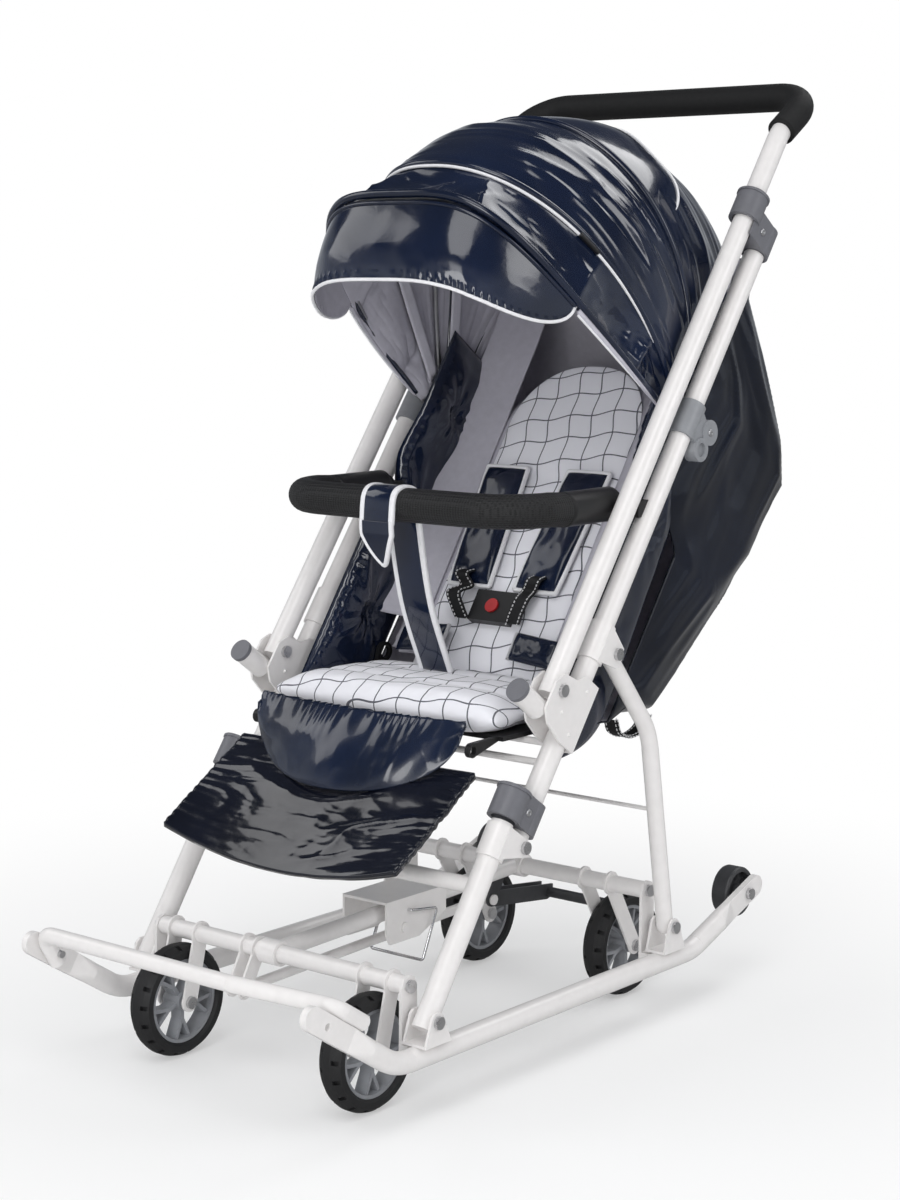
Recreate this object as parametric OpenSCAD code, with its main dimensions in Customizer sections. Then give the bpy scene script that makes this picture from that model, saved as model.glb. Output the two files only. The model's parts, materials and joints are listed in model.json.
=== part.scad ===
// Sled stroller: two steel runners, four retractable wheels, a folding tube frame,
// a reversible push handle, and a padded seat with a folding hood.
// Millimetres, +Z up, the child faces -Y, +X is the child's left. Z = 0 is the floor.

/* [Frame] */
// Half the distance between the left and right leg planes
frame_half = 207; // [200:1:214]
// Diameter of the main, handle and runner tubes
tube_d = 25; // [23:0.5:26]
// Diameter of the rear leg tubes
rear_leg_d = 20; // [18:0.5:21]
// Slope of the main tubes above the floor, in degrees
main_angle = 53.9; // [53:0.1:55]
// Length of a main tube above the knee pivot
main_len = 782; // [760:1:800]
// Distance between the main tube's and the handle tube's centre lines
handle_gap = 43; // [42:0.5:46]
// Diameter of the foam grip on the handle
grip_d = 34; // [30:1:38]

/* [Runners] */
// Height of the runner's centre line above the floor
runner_z = 70; // [68:0.5:73]
// Slope of the runner's nose, in degrees
nose_rise = 33; // [30:1:35]
// Height of a flattened runner tip
tip_h = 26; // [22:1:30]

/* [Wheels] */
// Diameter of a road wheel
wheel_d = 128; // [120:1:132]
// Width of a road tyre
tyre_w = 30; // [26:1:32]
// Distance from the leg plane in to the middle of a front wheel
front_inset = 64; // [61:1:71]
// Distance from the leg plane in to the middle of a rear wheel
rear_inset = 95; // [87:1:99]
// Diameter of a wheel beam
beam_d = 20; // [18:0.5:21]
// Diameter of the small rollers on the runner tails
roller_d = 62; // [54:1:64]

/* [Seat] */
// Gap between the hood's side and the seat cushion's side
seat_gap = 13; // [12.5:0.5:20]
// Height of the seat cushion's top
seat_top = 414; // [408:1:420]
// Diameter of the bumper bar's foam
bumper_d = 38; // [34:1:39]

/* [Hood] */
// Radius of the hood's outer cover about its pivot
hood_r = 372; // [360:1:376]
// Distance from the leg plane in to the hood's outer cover
hood_inset = 20; // [18:1:24]

/* [Hidden] */
$fn = 64;
tube_r = tube_d / 2;
rear_leg_r = rear_leg_d / 2;
beam_r = beam_d / 2;
wheel_r = wheel_d / 2;
bumper_r = bumper_d / 2;
grip_r = grip_d / 2;
front_track = frame_half - front_inset;
rear_track = frame_half - rear_inset;
hood_half = frame_half - hood_inset;
seat_half = hood_half - seat_gap;
// Half the length of a wheel beam between its brackets
beam_half = frame_half - 25;
// Half the width of the cloth shell, and the outer and inner faces of the side panels
cover_half = hood_half - 3;
panel_out = hood_half - 7;
panel_in = hood_half - 10.6;
bolt_r = 4;
run_fit = 0.05;
weld = 0.2;
plate = 3;
leg_angle = 55.7;

// Pivot points in the side view, as [y, z]
leg_foot = [-281, 107];
knee = [-134.6, 264.5];
rear_foot = [157, 112];
front_axis = [-283, 139.5];
rear_axis = [152, 152];
front_hub = [-302, wheel_r];
rear_hub = [202, wheel_r];
hood_axis = [213, 692];
recline_axis = [78, 412];
footrest_axis = [-148, 365];

// Places along the main tube, measured from the knee
main_start = -6;
collar_low = 15.5;
collar_len = 37;
handle_pivot_s = 170;
rear_hinge_s = 252.6;
rear_hinge_off = -24.5;
handle_bend_s = main_len + 148;
upper_collar_s = main_len + 0.6;
// How far the cloth shell stays behind the main tubes
cover_gap = 36;

// Runner points in the side view
runner_front = -330;
runner_rear = 212;
nose_len = 150;
tail_tip = [352, 121];

link_x = -40;
spine_x = -10;
lever = [-25, -43.3];

NAVY = [0.06, 0.08, 0.14];
WHITE = [0.92, 0.91, 0.9];
GREY = [0.44, 0.44, 0.47];
BLACK = [0.07, 0.07, 0.07];
STEEL = [0.7, 0.71, 0.73];

function polar(p, a, s) = [p[0] + s * cos(a), p[1] + s * sin(a)];
function main_at(s, off = 0) = polar(polar(knee, main_angle, s), main_angle + 90, off);
function unit(v) = v / norm(v);
function mirror_x(pts) = [for (i = [len(pts) - 1:-1:0]) [-pts[i][0], pts[i][1], pts[i][2]]];

handle_pivot = main_at(handle_pivot_s, handle_gap);
rear_hinge = main_at(rear_hinge_s, rear_hinge_off);
nose_bend = [runner_front, runner_z];
nose_tip = polar(nose_bend, 180 - nose_rise, nose_len);
tail_rise = atan2(tail_tip[1] - runner_z, tail_tip[0] - runner_rear);
roller_axis = polar(tail_tip, tail_rise, -19);

// Helpers

module pair() {
    children();
    mirror([1, 0, 0]) children();
}

// Moves a side-view point to the origin's place
module at(p, x = 0) {
    translate([x, p[0], p[1]]) children();
}

// The main tube's own frame: Y runs up the tube, Z points to its front
module on_main() {
    at(knee) rotate([main_angle, 0, 0]) children();
}

// The lower leg's own frame
module on_leg() {
    at(leg_foot) rotate([leg_angle, 0, 0]) children();
}

// A rod between two points
module rod(p, q, r) {
    d = q - p;
    translate(p) rotate([0, acos(d[2] / norm(d)), atan2(d[1], d[0])]) cylinder(r = r, h = norm(d));
}

// A pin along X, centred on x
module pin(p, x, len, r) {
    at(p, x - len / 2) rotate([0, 90, 0]) cylinder(r = r, h = len);
}

// A side-view outline made into a plate from x0 to x1
module side_plate(pts, x0, x1) {
    translate([x0, 0, 0]) rotate([90, 0, 90]) linear_extrude(x1 - x0) polygon(pts);
}

// The round bend at b of a tube that comes from a and goes on to c
module elbow(a, b, c, r, bend) {
    u = unit(a - b);
    w = unit(c - b);
    half = acos(u * w) / 2;
    start = b + u * bend / tan(half);
    centre = b + unit(u + w) * bend / sin(half);
    x = (start - centre) / bend;
    y = -u;
    z = cross(x, y);
    multmatrix([[x[0], y[0], z[0], centre[0]], [x[1], y[1], z[1], centre[1]],
                [x[2], y[2], z[2], centre[2]], [0, 0, 0, 1]])
        rotate_extrude(angle = 180 - 2 * half) translate([bend, 0]) circle(r - weld);
}

// A bent tube through a list of points; each straight runs a little way into its elbows
module bent_tube(pts, r, bend) {
    last = len(pts) - 1;
    cut = [for (i = [0:last]) (i == 0 || i == last) ? 0 :
        bend / tan(acos(unit(pts[i - 1] - pts[i]) * unit(pts[i + 1] - pts[i])) / 2)];
    lap = min(1, bend * 0.06);
    for (i = [0:last - 1]) {
        d = unit(pts[i + 1] - pts[i]);
        rod(pts[i] + d * (i == 0 ? 0 : cut[i] - lap), pts[i + 1] - d * (i == last - 1 ? 0 : cut[i + 1] - lap), r);
    }
    for (i = [1:1:last - 1]) elbow(pts[i - 1], pts[i], pts[i + 1], r, bend);
}

// A bolt along X with a round head at each end; len is its grip
module bolt(p, x, len, r = bolt_r) {
    pin(p, x, len + 6, r);
    for (s = [-1, 1]) pin(p, x + s * (len / 2 + 2), 4, r * 1.75);
}

// A closed soft sheet: top(u, v) and base(u, v) give points for u, v in 0..1
module soft_slab(nu, nv, top, base) {
    row = nv + 1;
    n = (nu + 1) * row;
    pts = concat([for (i = [0:nu], j = [0:nv]) top(i / nu, j / nv)],
                 [for (i = [0:nu], j = [0:nv]) base(i / nu, j / nv)]);
    caps = [for (i = [0:nu - 1], j = [0:nv - 1]) let (a = i * row + j, b = a + row)
        each [[a, b + 1, b], [a, a + 1, b + 1], [n + a, n + b, n + b + 1], [n + a, n + b + 1, n + a + 1]]];
    ends = [for (j = [0:nv - 1]) let (a = j, b = nu * row + j)
        each [[a, n + a, n + a + 1], [a, n + a + 1, a + 1], [b, b + 1, n + b + 1], [b, n + b + 1, n + b]]];
    rims = [for (i = [0:nu - 1]) let (a = i * row, b = i * row + nv)
        each [[a, a + row, n + a + row], [a, n + a + row, n + a],
              [b, n + b, n + b + row], [b, n + b + row, b + row]]];
    polyhedron(pts, concat(caps, ends, rims));
}

// How far a padded surface stands up: full inside, falling to zero at the rim
function crown(u, v, p = 4) = sqrt(max(0, (1 - pow(abs(2 * u - 1), p)) * (1 - pow(abs(2 * v - 1), p))));
// A narrow groove at c
function groove(t, c, w) = exp(-pow((t - c) / w, 2));

// Runners

module flat_tip(p, a, len, hole) {
    at(p) rotate([a, 0, 0]) difference() {
        union() {
            translate([-4, 0, -tip_h / 2]) cube([8, len, tip_h]);
            translate([-4, len, 0]) rotate([0, 90, 0]) cylinder(d = tip_h, h = 8);
        }
        translate([-5, hole, 0]) rotate([0, 90, 0]) cylinder(r = bolt_r + run_fit, h = 10);
    }
}

// Squeezes the round tube into the flat tip
module squeeze(p, a, len) {
    at(p) rotate([a, 0, 0]) hull() {
        rotate([-90, 0, 0]) cylinder(r = tube_r + 0.15, h = 0.5, $fn = 32);
        translate([-3.9, len, 0.1 - tip_h / 2]) cube([7.8, 0.5, tip_h - 0.2]);
    }
}

module runner_tube() {
    nose_a = 180 - nose_rise;
    nose_flat = polar(nose_bend, nose_a, nose_len - 95);
    nose_end = polar(nose_flat, nose_a, 0.4);
    tail_bend = [runner_rear, runner_z];
    tail_flat = polar(tail_tip, tail_rise, -88);
    tail_end = polar(tail_flat, tail_rise, 0.4);
    color(WHITE) translate([frame_half, 0, 0]) {
        bent_tube([[0, nose_end[0], nose_end[1]], [0, nose_bend[0], nose_bend[1]],
                   [0, tail_bend[0], tail_bend[1]], [0, tail_end[0], tail_end[1]]], tube_r, 70);
        squeeze(nose_flat, nose_a, 30);
        flat_tip(polar(nose_flat, nose_a, 30), nose_a, 65, 42);
        squeeze(tail_flat, tail_rise, 30);
        flat_tip(polar(tail_flat, tail_rise, 30), tail_rise, 58, norm(roller_axis - polar(tail_flat, tail_rise, 30)));
    }
}

module runners() {
    pair() runner_tube();
}

// The front bar turns down inside the right tip and lies on top of the left tip
module front_bar() {
    bar_r = 9;
    nose_a = 180 - nose_rise;
    rest = tip_h / 2 + bar_r + 0.1;
    lap = polar(polar(nose_bend, nose_a, 122), nose_a - 90, rest);
    lap_end = polar(polar(nose_bend, nose_a, 74), nose_a - 90, rest);
    inner = -frame_half + 4 + bar_r + 0.1;
    drop = polar(nose_bend, nose_a, 127);
    color(WHITE) difference() {
        bent_tube([[inner, drop[0] + 4, drop[1] - 12], [inner, nose_tip[0] + 2, nose_tip[1] + 13],
                   [96, nose_tip[0] + 2, nose_tip[1] + 13], [frame_half, lap[0], lap[1]],
                   [frame_half, lap_end[0], lap_end[1]]], bar_r, 16);
        rod([frame_half, lap_end[0], lap_end[1]] - 6 * [0, cos(nose_a), sin(nose_a)],
            [frame_half, lap_end[0], lap_end[1]] + 30 * [0, cos(nose_a), sin(nose_a)], bar_r - 1.6);
        pin(polar(nose_bend, nose_a, 127), inner, 40, bolt_r + run_fit);
    }
}

// A folded bracket with two ears that stands on the runner and holds a leg between them
module leg_bracket(p, gap) {
    foot = runner_z + tube_r;
    difference() {
        union() {
            for (s = [-1, 1]) translate([s * (gap + plate / 2), 0, 0])
                side_plate([[p[0] - 20, foot], [p[0] + 22, foot], [p[0] + 9, p[1] + 6], [p[0] + 4, p[1] + 10],
                            [p[0] - 4, p[1] + 10], [p[0] - 9, p[1] + 6]], -plate / 2, plate / 2);
            translate([-gap - plate, p[0] - 20, foot]) cube([2 * (gap + plate), 42, plate]);
        }
        pin(p, 0, 60, bolt_r + run_fit);
    }
}

// An upright plate inside the runner that carries the end of a wheel beam
module beam_bracket(p) {
    x0 = beam_half;
    difference() {
        union() {
            side_plate([[p[0] - 13, runner_z - 9], [p[0] + 13, runner_z - 9], [p[0] + 12, p[1]], [p[0] + 8, p[1] + 9],
                        [p[0], p[1] + 12], [p[0] - 8, p[1] + 9], [p[0] - 12, p[1]]], x0, x0 + 4);
            translate([x0, p[0] - 13, runner_z - 9]) cube([frame_half - x0 - 6, 26, 18]);
        }
        pin(p, x0, 30, bolt_r + run_fit);
        translate([frame_half, p[0] - 30, runner_z]) rotate([-90, 0, 0]) cylinder(r = tube_r, h = 60);
    }
}

module runner_brackets() {
    color(WHITE) pair() {
        translate([frame_half, 0, 0]) {
            leg_bracket(leg_foot, tube_r + 0.7);
            leg_bracket(rear_foot, rear_leg_r + 1);
        }
        beam_bracket(front_axis);
        beam_bracket(rear_axis);
    }
}

module chassis_bolts() {
    x0 = beam_half;
    nose_a = 180 - nose_rise;
    color(STEEL) {
        pair() {
            bolt(leg_foot, frame_half, 2 * (tube_r + 0.7 + plate));
            bolt(rear_foot, frame_half, 2 * (rear_leg_r + 1 + plate));
            for (p = [front_axis, rear_axis]) {
                pin(p, x0 - 4, 24, bolt_r);
                pin(p, x0 + 6.5, 4, 7);
            }
            pin(roller_axis, frame_half - 17, 51, bolt_r);
            pin(roller_axis, frame_half + 6.6, 5, 7);
            pin(roller_axis, frame_half - 41, 4, 7);
        }
        pin(polar(nose_bend, nose_a, 127), -frame_half + 9, 34, bolt_r);
        pin(polar(nose_bend, nose_a, 127), -frame_half - 6.6, 5, 7);
    }
}

// The long tube between the wheel beams: its rings let the beams turn
module spine_tube() {
    color(WHITE) difference() {
        union() {
            rod([spine_x, front_axis[0], front_axis[1]], [spine_x, rear_axis[0], rear_axis[1]], 10);
            for (p = [front_axis, rear_axis]) pin(p, spine_x, 26, beam_r + 4);
        }
        for (p = [front_axis, rear_axis]) pin(p, spine_x, 40, beam_r + 0.3);
    }
}

// The folded channel on the spine that holds the lock wire
module lock_channel() {
    y0 = -118;
    y1 = -12;
    x0 = link_x - 17;
    x1 = spine_x + 21;
    spine_z = (front_axis[1] + rear_axis[1]) / 2 + 10;
    color(WHITE) difference() {
        union() {
            translate([x0, y0, spine_z + 4]) cube([x1 - x0, y1 - y0, plate]);
            for (x = [x0, x1 - plate]) side_plate([[y0, spine_z + 5], [y1, spine_z + 5], [y1, spine_z - 22],
                [-60, 112], [-112, 112], [y0, 124]], x, x + plate);
            translate([spine_x - 7, y0 + 20, spine_z - 3]) cube([14, y1 - y0 - 40, 8]);
        }
        rod([spine_x, front_axis[0], front_axis[1]], [spine_x, rear_axis[0], rear_axis[1]], 10);
        pin([-80, spine_z - 8], spine_x - 10, 120, 1.9);
        pin([-87, 128], spine_x - 10, 120, bolt_r + run_fit);
    }
    color(STEEL) for (x = [x0 - 1.6, x1 + 1.6]) pin([-87, 128], x, 3, 6);
}

// A sprung wire bail under the link: it keeps the wheels down
module lock_wire() {
    spine_z = (front_axis[1] + rear_axis[1]) / 2 + 10;
    xa = link_x - 17 - 3.2;
    xb = spine_x + 21 + 3.2;
    top = [-80, spine_z - 8];
    out = [-36, 142];
    low = [-62, 84];
    color(STEEL) bent_tube([[xa + 5, top[0], top[1]], [xa - 3, top[0], top[1]], [xa - 3, out[0], out[1]],
        [xa - 3, low[0], low[1]], [xb + 3, low[0], low[1]], [xb + 3, out[0], out[1]],
        [xb + 3, top[0], top[1]], [xb - 5, top[0], top[1]]], 1.8, 3.2);
}

// Wheels

module tyre(p, x) {
    w = tyre_w / 2;
    rim = wheel_r - 16;
    color(BLACK) at(p, x) rotate([0, 90, 0]) difference() {
        rotate_extrude() polygon([[rim, -w + 3], [rim + 3, -w], [wheel_r - 6, -w], [wheel_r - 1.5, -w + 6],
            [wheel_r, -w + 11], [wheel_r, w - 11], [wheel_r - 1.5, w - 6], [wheel_r - 6, w], [rim + 3, w],
            [rim, w - 3]]);
        for (i = [0:17], s = [-1, 1]) rotate(i * 20 + s * 5) translate([wheel_r - 5, -2.5, s > 0 ? w - 9 : -w - 1])
            cube([10, 5, 10]);
    }
}

// A moulded hub: rim, boss and five forked spokes
module hub(p, x) {
    rim = wheel_r - 16;
    w = tyre_w / 2 - 4;
    color(GREY) at(p, x) rotate([0, 90, 0]) difference() {
        union() {
            translate([0, 0, -w]) difference() {
                cylinder(r = rim, h = 2 * w);
                translate([0, 0, -1]) cylinder(r = rim - 4, h = 2 * w + 2);
            }
            translate([0, 0, -w - 2]) cylinder(r = 10, h = 2 * w + 4);
            for (i = [0:4]) rotate(i * 72) translate([0, 0, -w + 3]) linear_extrude(2 * w - 6) {
                translate([6, -2.5]) square([rim - 30, 5]);
                for (s = [-1, 1]) translate([rim - 27, 0]) rotate(s * 24) translate([-1.5, -2]) square([25.5, 4]);
            }
        }
        translate([0, 0, -w - 5]) cylinder(r = bolt_r + run_fit, h = 2 * w + 10);
    }
}

// Two flat straps hooked over the beam hold each wheel between them
module fork(axis, wheel, x) {
    for (s = [-1, 1]) {
        x0 = x + s * (tyre_w / 2 + 4.5);
        difference() {
            union() {
                pin(axis, x0, plate, beam_r + 4);
                pin(wheel, x0, plate, 11);
                d = unit(wheel - axis);
                n = 10.5 * [-d[1], d[0]];
                side_plate([axis + n, axis - n, wheel - n, wheel + n], x0 - plate / 2, x0 + plate / 2);
            }
            pin(axis, x0, 20, beam_r + 0.02);
            pin(wheel, x0, 20, bolt_r + run_fit);
        }
    }
}

module wheel_beam(axis) {
    x0 = beam_half - 0.3;
    color(WHITE) difference() {
        pin(axis, 0, 2 * x0, beam_r);
        for (s = [-1, 1]) pin(axis, s * x0, 40, bolt_r + run_fit);
    }
}

// A lever plate on a beam, with the link's pin hole at its end
module lift_lever(axis, tail) {
    end = axis + lever;
    d = unit(lever);
    n = 9 * [-d[1], d[0]];
    for (s = [-1, 1]) {
        x0 = link_x + s * 9;
        difference() {
            union() {
                pin(axis, x0, plate, beam_r + 4);
                pin(end, x0, plate, 9);
                side_plate([axis + n, axis - n, end - n, end + n], x0 - plate / 2, x0 + plate / 2);
                if (tail) side_plate([end + [-4, 8], end + [0, -9], end + [112, -23], end + [124, -20], end + [124, -5],
                    end + [20, 8]], x0 - plate / 2, x0 + plate / 2);
            }
            pin(axis, x0, 20, beam_r + 0.02);
            pin(end, x0, 20, bolt_r + run_fit);
            if (tail) pin(end + [116, -14], x0, 20, 6.5);
        }
    }
}

module axle_bolts(p, track) {
    color(STEEL) pair() bolt(p, track, tyre_w + 9 + plate);
}

module front_beam() {
    wheel_beam(front_axis);
}

module rear_beam() {
    wheel_beam(rear_axis);
}

module front_forks() {
    color(WHITE) {
        pair() fork(front_axis, front_hub, front_track);
        lift_lever(front_axis, false);
    }
}

module rear_forks() {
    color(WHITE) pair() fork(rear_axis, rear_hub, rear_track);
}

// The rear lever carries the foot pedal
module pedal_lever() {
    p = rear_axis + lever + [116, -14];
    color(WHITE) {
        lift_lever(rear_axis, true);
        rod([link_x - 12, p[0], p[1]], [rear_track - tyre_w / 2 - 14, p[0], p[1]], 6.5);
    }
}

module front_axle_bolts() {
    axle_bolts(front_hub, front_track);
}

module rear_axle_bolts() {
    axle_bolts(rear_hub, rear_track);
}

// The link between the two levers, with its two pins
module link_bar() {
    a = front_axis + lever;
    b = rear_axis + lever;
    color(WHITE) rod([link_x, a[0], a[1]], [link_x, b[0], b[1]], 6);
    color(STEEL) for (p = [a, b]) {
        pin(p, link_x, 28, bolt_r);
        for (s = [-1, 1]) pin(p, link_x + s * 12.6, 3, 6.5);
    }
}

module front_tyre_left() { tyre(front_hub, front_track); }
module front_tyre_right() { tyre(front_hub, -front_track); }
module rear_tyre_left() { tyre(rear_hub, rear_track); }
module rear_tyre_right() { tyre(rear_hub, -rear_track); }
module front_hub_left() { hub(front_hub, front_track); }
module front_hub_right() { hub(front_hub, -front_track); }
module rear_hub_left() { hub(rear_hub, rear_track); }
module rear_hub_right() { hub(rear_hub, -rear_track); }

// A plain roller with holes in its web, for tipping the sled back
module roller(x) {
    r = roller_d / 2;
    color(GREY) at(roller_axis, x) rotate([0, 90, 0]) difference() {
        rotate_extrude() polygon([[bolt_r + run_fit, -11], [10, -11], [10, -4], [r - 6, -4], [r - 6, -11], [r - 1, -11],
            [r, -9], [r, 9], [r - 1, 11], [r - 6, 11], [r - 6, 4], [10, 4], [10, 11], [bolt_r + run_fit, 11]]);
        for (i = [0:5]) rotate(i * 60) translate([(r + 4) / 2, 0, -20]) cylinder(r = 5, h = 40);
    }
}

module tail_roller_left() {
    roller(frame_half - 20);
}

module tail_roller_right() {
    roller(-frame_half + 20);
}

// Folding legs

leg_top = 226;

// Two legs with a cross tube welded between them
module lower_legs() {
    p = polar(leg_foot, leg_angle, 151);
    color(WHITE) {
        pair() translate([frame_half, 0, 0]) difference() {
            on_leg() translate([0, -11, 0]) rotate([-90, 0, 0]) cylinder(r = tube_r, h = leg_top + 11);
            pin(leg_foot, 0, 60, bolt_r + run_fit);
            on_leg() translate([0, leg_top - 30, 0]) rotate([-90, 0, 0]) cylinder(r = tube_r - 1.8, h = 60);
        }
        rod([-frame_half + 4, p[0], p[1]], [frame_half - 4, p[0], p[1]], 9);
    }
}

// A pressed clip round the top of each lower leg; its ears reach back to the knee pivot
module knee_clips() {
    color(WHITE) pair() translate([frame_half, 0, 0]) difference() {
        union() {
            on_leg() translate([0, 184, 0]) rotate([-90, 0, 0]) cylinder(r = tube_r + plate, h = 38);
            for (s = [-1, 1]) translate([s * (tube_r + 0.1 + plate / 2), 0, 0]) {
                a = polar(polar(leg_foot, leg_angle, 184), leg_angle + 90, 4);
                b = polar(polar(leg_foot, leg_angle, 222), leg_angle + 90, 4);
                side_plate([a, polar(knee, leg_angle - 120, 13), polar(knee, leg_angle - 60, 13),
                            polar(knee, leg_angle, 9), b], -plate / 2, plate / 2);
            }
        }
        on_leg() translate([0, 170, 0]) rotate([-90, 0, 0]) cylinder(r = tube_r + 0.02, h = 70);
        pin(knee, 0, 60, bolt_r + run_fit);
    }
}

module rear_leg() {
    bend = polar(rear_hinge, -50.5, 133);
    color(WHITE) translate([frame_half, 0, 0]) difference() {
        union() {
            bent_tube([[0, rear_hinge[0], rear_hinge[1]], [0, bend[0], bend[1]], [0, rear_foot[0], rear_foot[1]]],
                      rear_leg_r, 80);
            at(rear_hinge) sphere(r = rear_leg_r - weld);
            at(rear_foot) sphere(r = rear_leg_r - weld);
        }
        pin(rear_hinge, 0, 60, bolt_r + run_fit);
        pin(rear_foot, 0, 60, bolt_r + run_fit);
    }
}

// Both rear legs, with the thin rod riveted between them
module rear_legs() {
    bend = polar(rear_hinge, -50.5, 133);
    p = bend + 0.4 * (rear_foot - bend);
    pair() rear_leg();
    color(STEEL) rod([-frame_half + 2, p[0], p[1]], [frame_half - 2, p[0], p[1]], 2.5);
}

// Main frame

module main_tubes() {
    color(WHITE) pair() translate([frame_half, 0, 0]) difference() {
        on_main() translate([0, main_start, 0]) rotate([-90, 0, 0]) cylinder(r = tube_r, h = main_len - main_start);
        on_main() translate([0, main_len - 40, 0]) rotate([-90, 0, 0]) cylinder(r = tube_r - 1.8, h = 60);
        pin(knee, 0, 60, bolt_r + run_fit);
    }
}

stub_s = 141;
seat_rod_s = [100, 124.2];
seat_rod_r = 4;

// Two pressed plates hold the handle's pivot, the main tube and a stub tube
module seat_brackets() {
    gap = tube_r + 0.6;
    color(WHITE) pair() translate([frame_half, 0, 0]) on_main() {
        difference() {
            union() {
                for (s = [-1, 1]) translate([s * (gap + plate / 2), 0, 0])
                    side_plate([[122, -15], [122, 14], [128, 44], [140, 58], [174, handle_gap + 15],
                                [188, handle_gap + 6], [192, 26], [204, 14], [204, -15]], -plate / 2, plate / 2);
                translate([-gap, 122, -tube_r - 3]) cube([2 * gap, 82, 2.9]);
                translate([0, stub_s, 52]) cylinder(r = tube_r, h = 40);
            }
            translate([0, handle_pivot_s, handle_gap]) rotate([0, 90, 0])
                cylinder(r = bolt_r + run_fit, h = 80, center = true);
            translate([0, stub_s, 60]) cylinder(r = tube_r - 1.8, h = 40);
            translate([-gap - plate - 0.5, seat_rod_s[1], 0]) rotate([0, 90, 0])
                cylinder(r = seat_rod_r + run_fit, h = plate + 1);
        }
        for (s = [-1, 1], q = [[136, 4], [150, 30], [190, 2]])
            translate([s * (gap + plate), q[0], q[1]]) sphere(r = 2.2);
    }
}

module stop_caps() {
    color(GREY) pair() translate([frame_half, 0, 0]) on_main() translate([0, stub_s, 92.1]) {
        cylinder(r = tube_r + 0.8, h = 5);
        translate([0, 0, -14]) cylinder(r = tube_r - 1.85, h = 15);
    }
}

// A strap round the main tube with two ears behind it for the rear leg
module rear_hinge_brackets() {
    gap = tube_r + 0.1;
    color(WHITE) pair() translate([frame_half, 0, 0]) on_main() difference() {
        union() {
            translate([0, rear_hinge_s - 24, 0]) rotate([-90, 0, 0]) cylinder(r = gap + 2.4, h = 46);
            for (s = [-1, 1]) translate([s * (gap + 1.2), 0, 0])
                side_plate([[rear_hinge_s - 24, 4], [rear_hinge_s - 14, rear_hinge_off - 9],
                            [rear_hinge_s, rear_hinge_off - 12], [rear_hinge_s + 11, rear_hinge_off - 8],
                            [rear_hinge_s + 22, 4]], -1.2, 1.2);
        }
        translate([0, rear_hinge_s - 40, 0]) rotate([-90, 0, 0]) cylinder(r = tube_r + 0.05, h = 80);
        translate([-rear_leg_r - 1.2, rear_hinge_s - 40, -60]) cube([2 * rear_leg_r + 2.4, 80, 60 - tube_r + 1]);
        translate([0, rear_hinge_s, rear_hinge_off]) rotate([0, 90, 0])
            cylinder(r = bolt_r + run_fit, h = 80, center = true);
    }
}

// The knee and handle pivots, and the two halves of each rear leg's hinge pin
module frame_bolts() {
    ear = tube_r + 2.5;
    color(STEEL) pair() {
        bolt(knee, frame_half, 2 * (tube_r + plate + 0.1));
        bolt(handle_pivot, frame_half, 2 * (tube_r + 0.6 + plate));
        for (s = [-1, 1]) {
            pin(rear_hinge, frame_half + s * (rear_leg_r + 0.15 + ear + 2) / 2, ear + 2 - rear_leg_r - 0.15, bolt_r);
            pin(rear_hinge, frame_half + s * (ear + 2.1), 4, 7);
        }
    }
}

module seat_rods() {
    color(WHITE) for (s = seat_rod_s) {
        p = main_at(s);
        rod([-frame_half + tube_r + 0.1, p[0], p[1]], [frame_half - tube_r - 0.1, p[0], p[1]], seat_rod_r);
    }
}

// A sliding lock: a ring on one tube and a hollow block for the end of the other
module collar(ring_off, block_off, lift, depth) {
    ring_r = tube_r + 6.5;
    difference() {
        union() {
            translate([0, lift, ring_off]) rotate([-90, 0, 0]) cylinder(r = ring_r, h = collar_len);
            translate([0, lift + collar_len - 4, ring_off]) rotate([-90, 0, 0]) cylinder(r = ring_r + 1.2, h = 3);
            translate([-ring_r + 3, 0, min(ring_off, block_off)])
                cube([2 * ring_r - 6, collar_len, abs(ring_off - block_off)]);
            translate([0, 0, block_off]) rotate([-90, 0, 0]) cylinder(r = ring_r - 2, h = collar_len);
        }
        translate([0, -20, ring_off]) rotate([-90, 0, 0]) cylinder(r = tube_r + 1.6, h = 120);
        translate([0, -20, block_off]) rotate([-90, 0, 0]) cylinder(r = tube_r + 0.4, h = 20 + depth);
    }
}

module lower_collar(x) {
    color(GREY) translate([x, 0, 0]) on_main() translate([0, collar_low, 0]) collar(34, 0, 0, collar_len + 1);
}

module lower_collar_left() {
    lower_collar(frame_half);
}

module lower_collar_right() {
    lower_collar(-frame_half);
}

module handle_collar(x) {
    color(GREY) translate([x, 0, 0]) on_main() translate([0, upper_collar_s, 0]) collar(handle_gap, 0, 18, collar_len - 6);
}

module handle_collar_left() {
    handle_collar(frame_half);
}

module handle_collar_right() {
    handle_collar(-frame_half);
}

// Handle

function handle_side() = let (foot = main_at(handle_pivot_s - 8, handle_gap),
        kink = main_at(handle_bend_s, handle_gap), top = polar(kink, 33, 88))
    [[frame_half, foot[0], foot[1]], [frame_half, kink[0], kink[1]], [frame_half, top[0], top[1]]];

module handle_tube() {
    color(WHITE) difference() {
        bent_tube(concat(handle_side(), mirror_x(handle_side())), tube_r, 46);
        pair() pin(handle_pivot, frame_half, 60, bolt_r + run_fit);
        pair() translate([frame_half, 0, 0]) on_main() translate([0, handle_pivot_s + 30, handle_gap])
            rotate([-90, 0, 0]) cylinder(r = tube_r - 1.8, h = handle_bend_s - handle_pivot_s - 70);
    }
}

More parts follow.
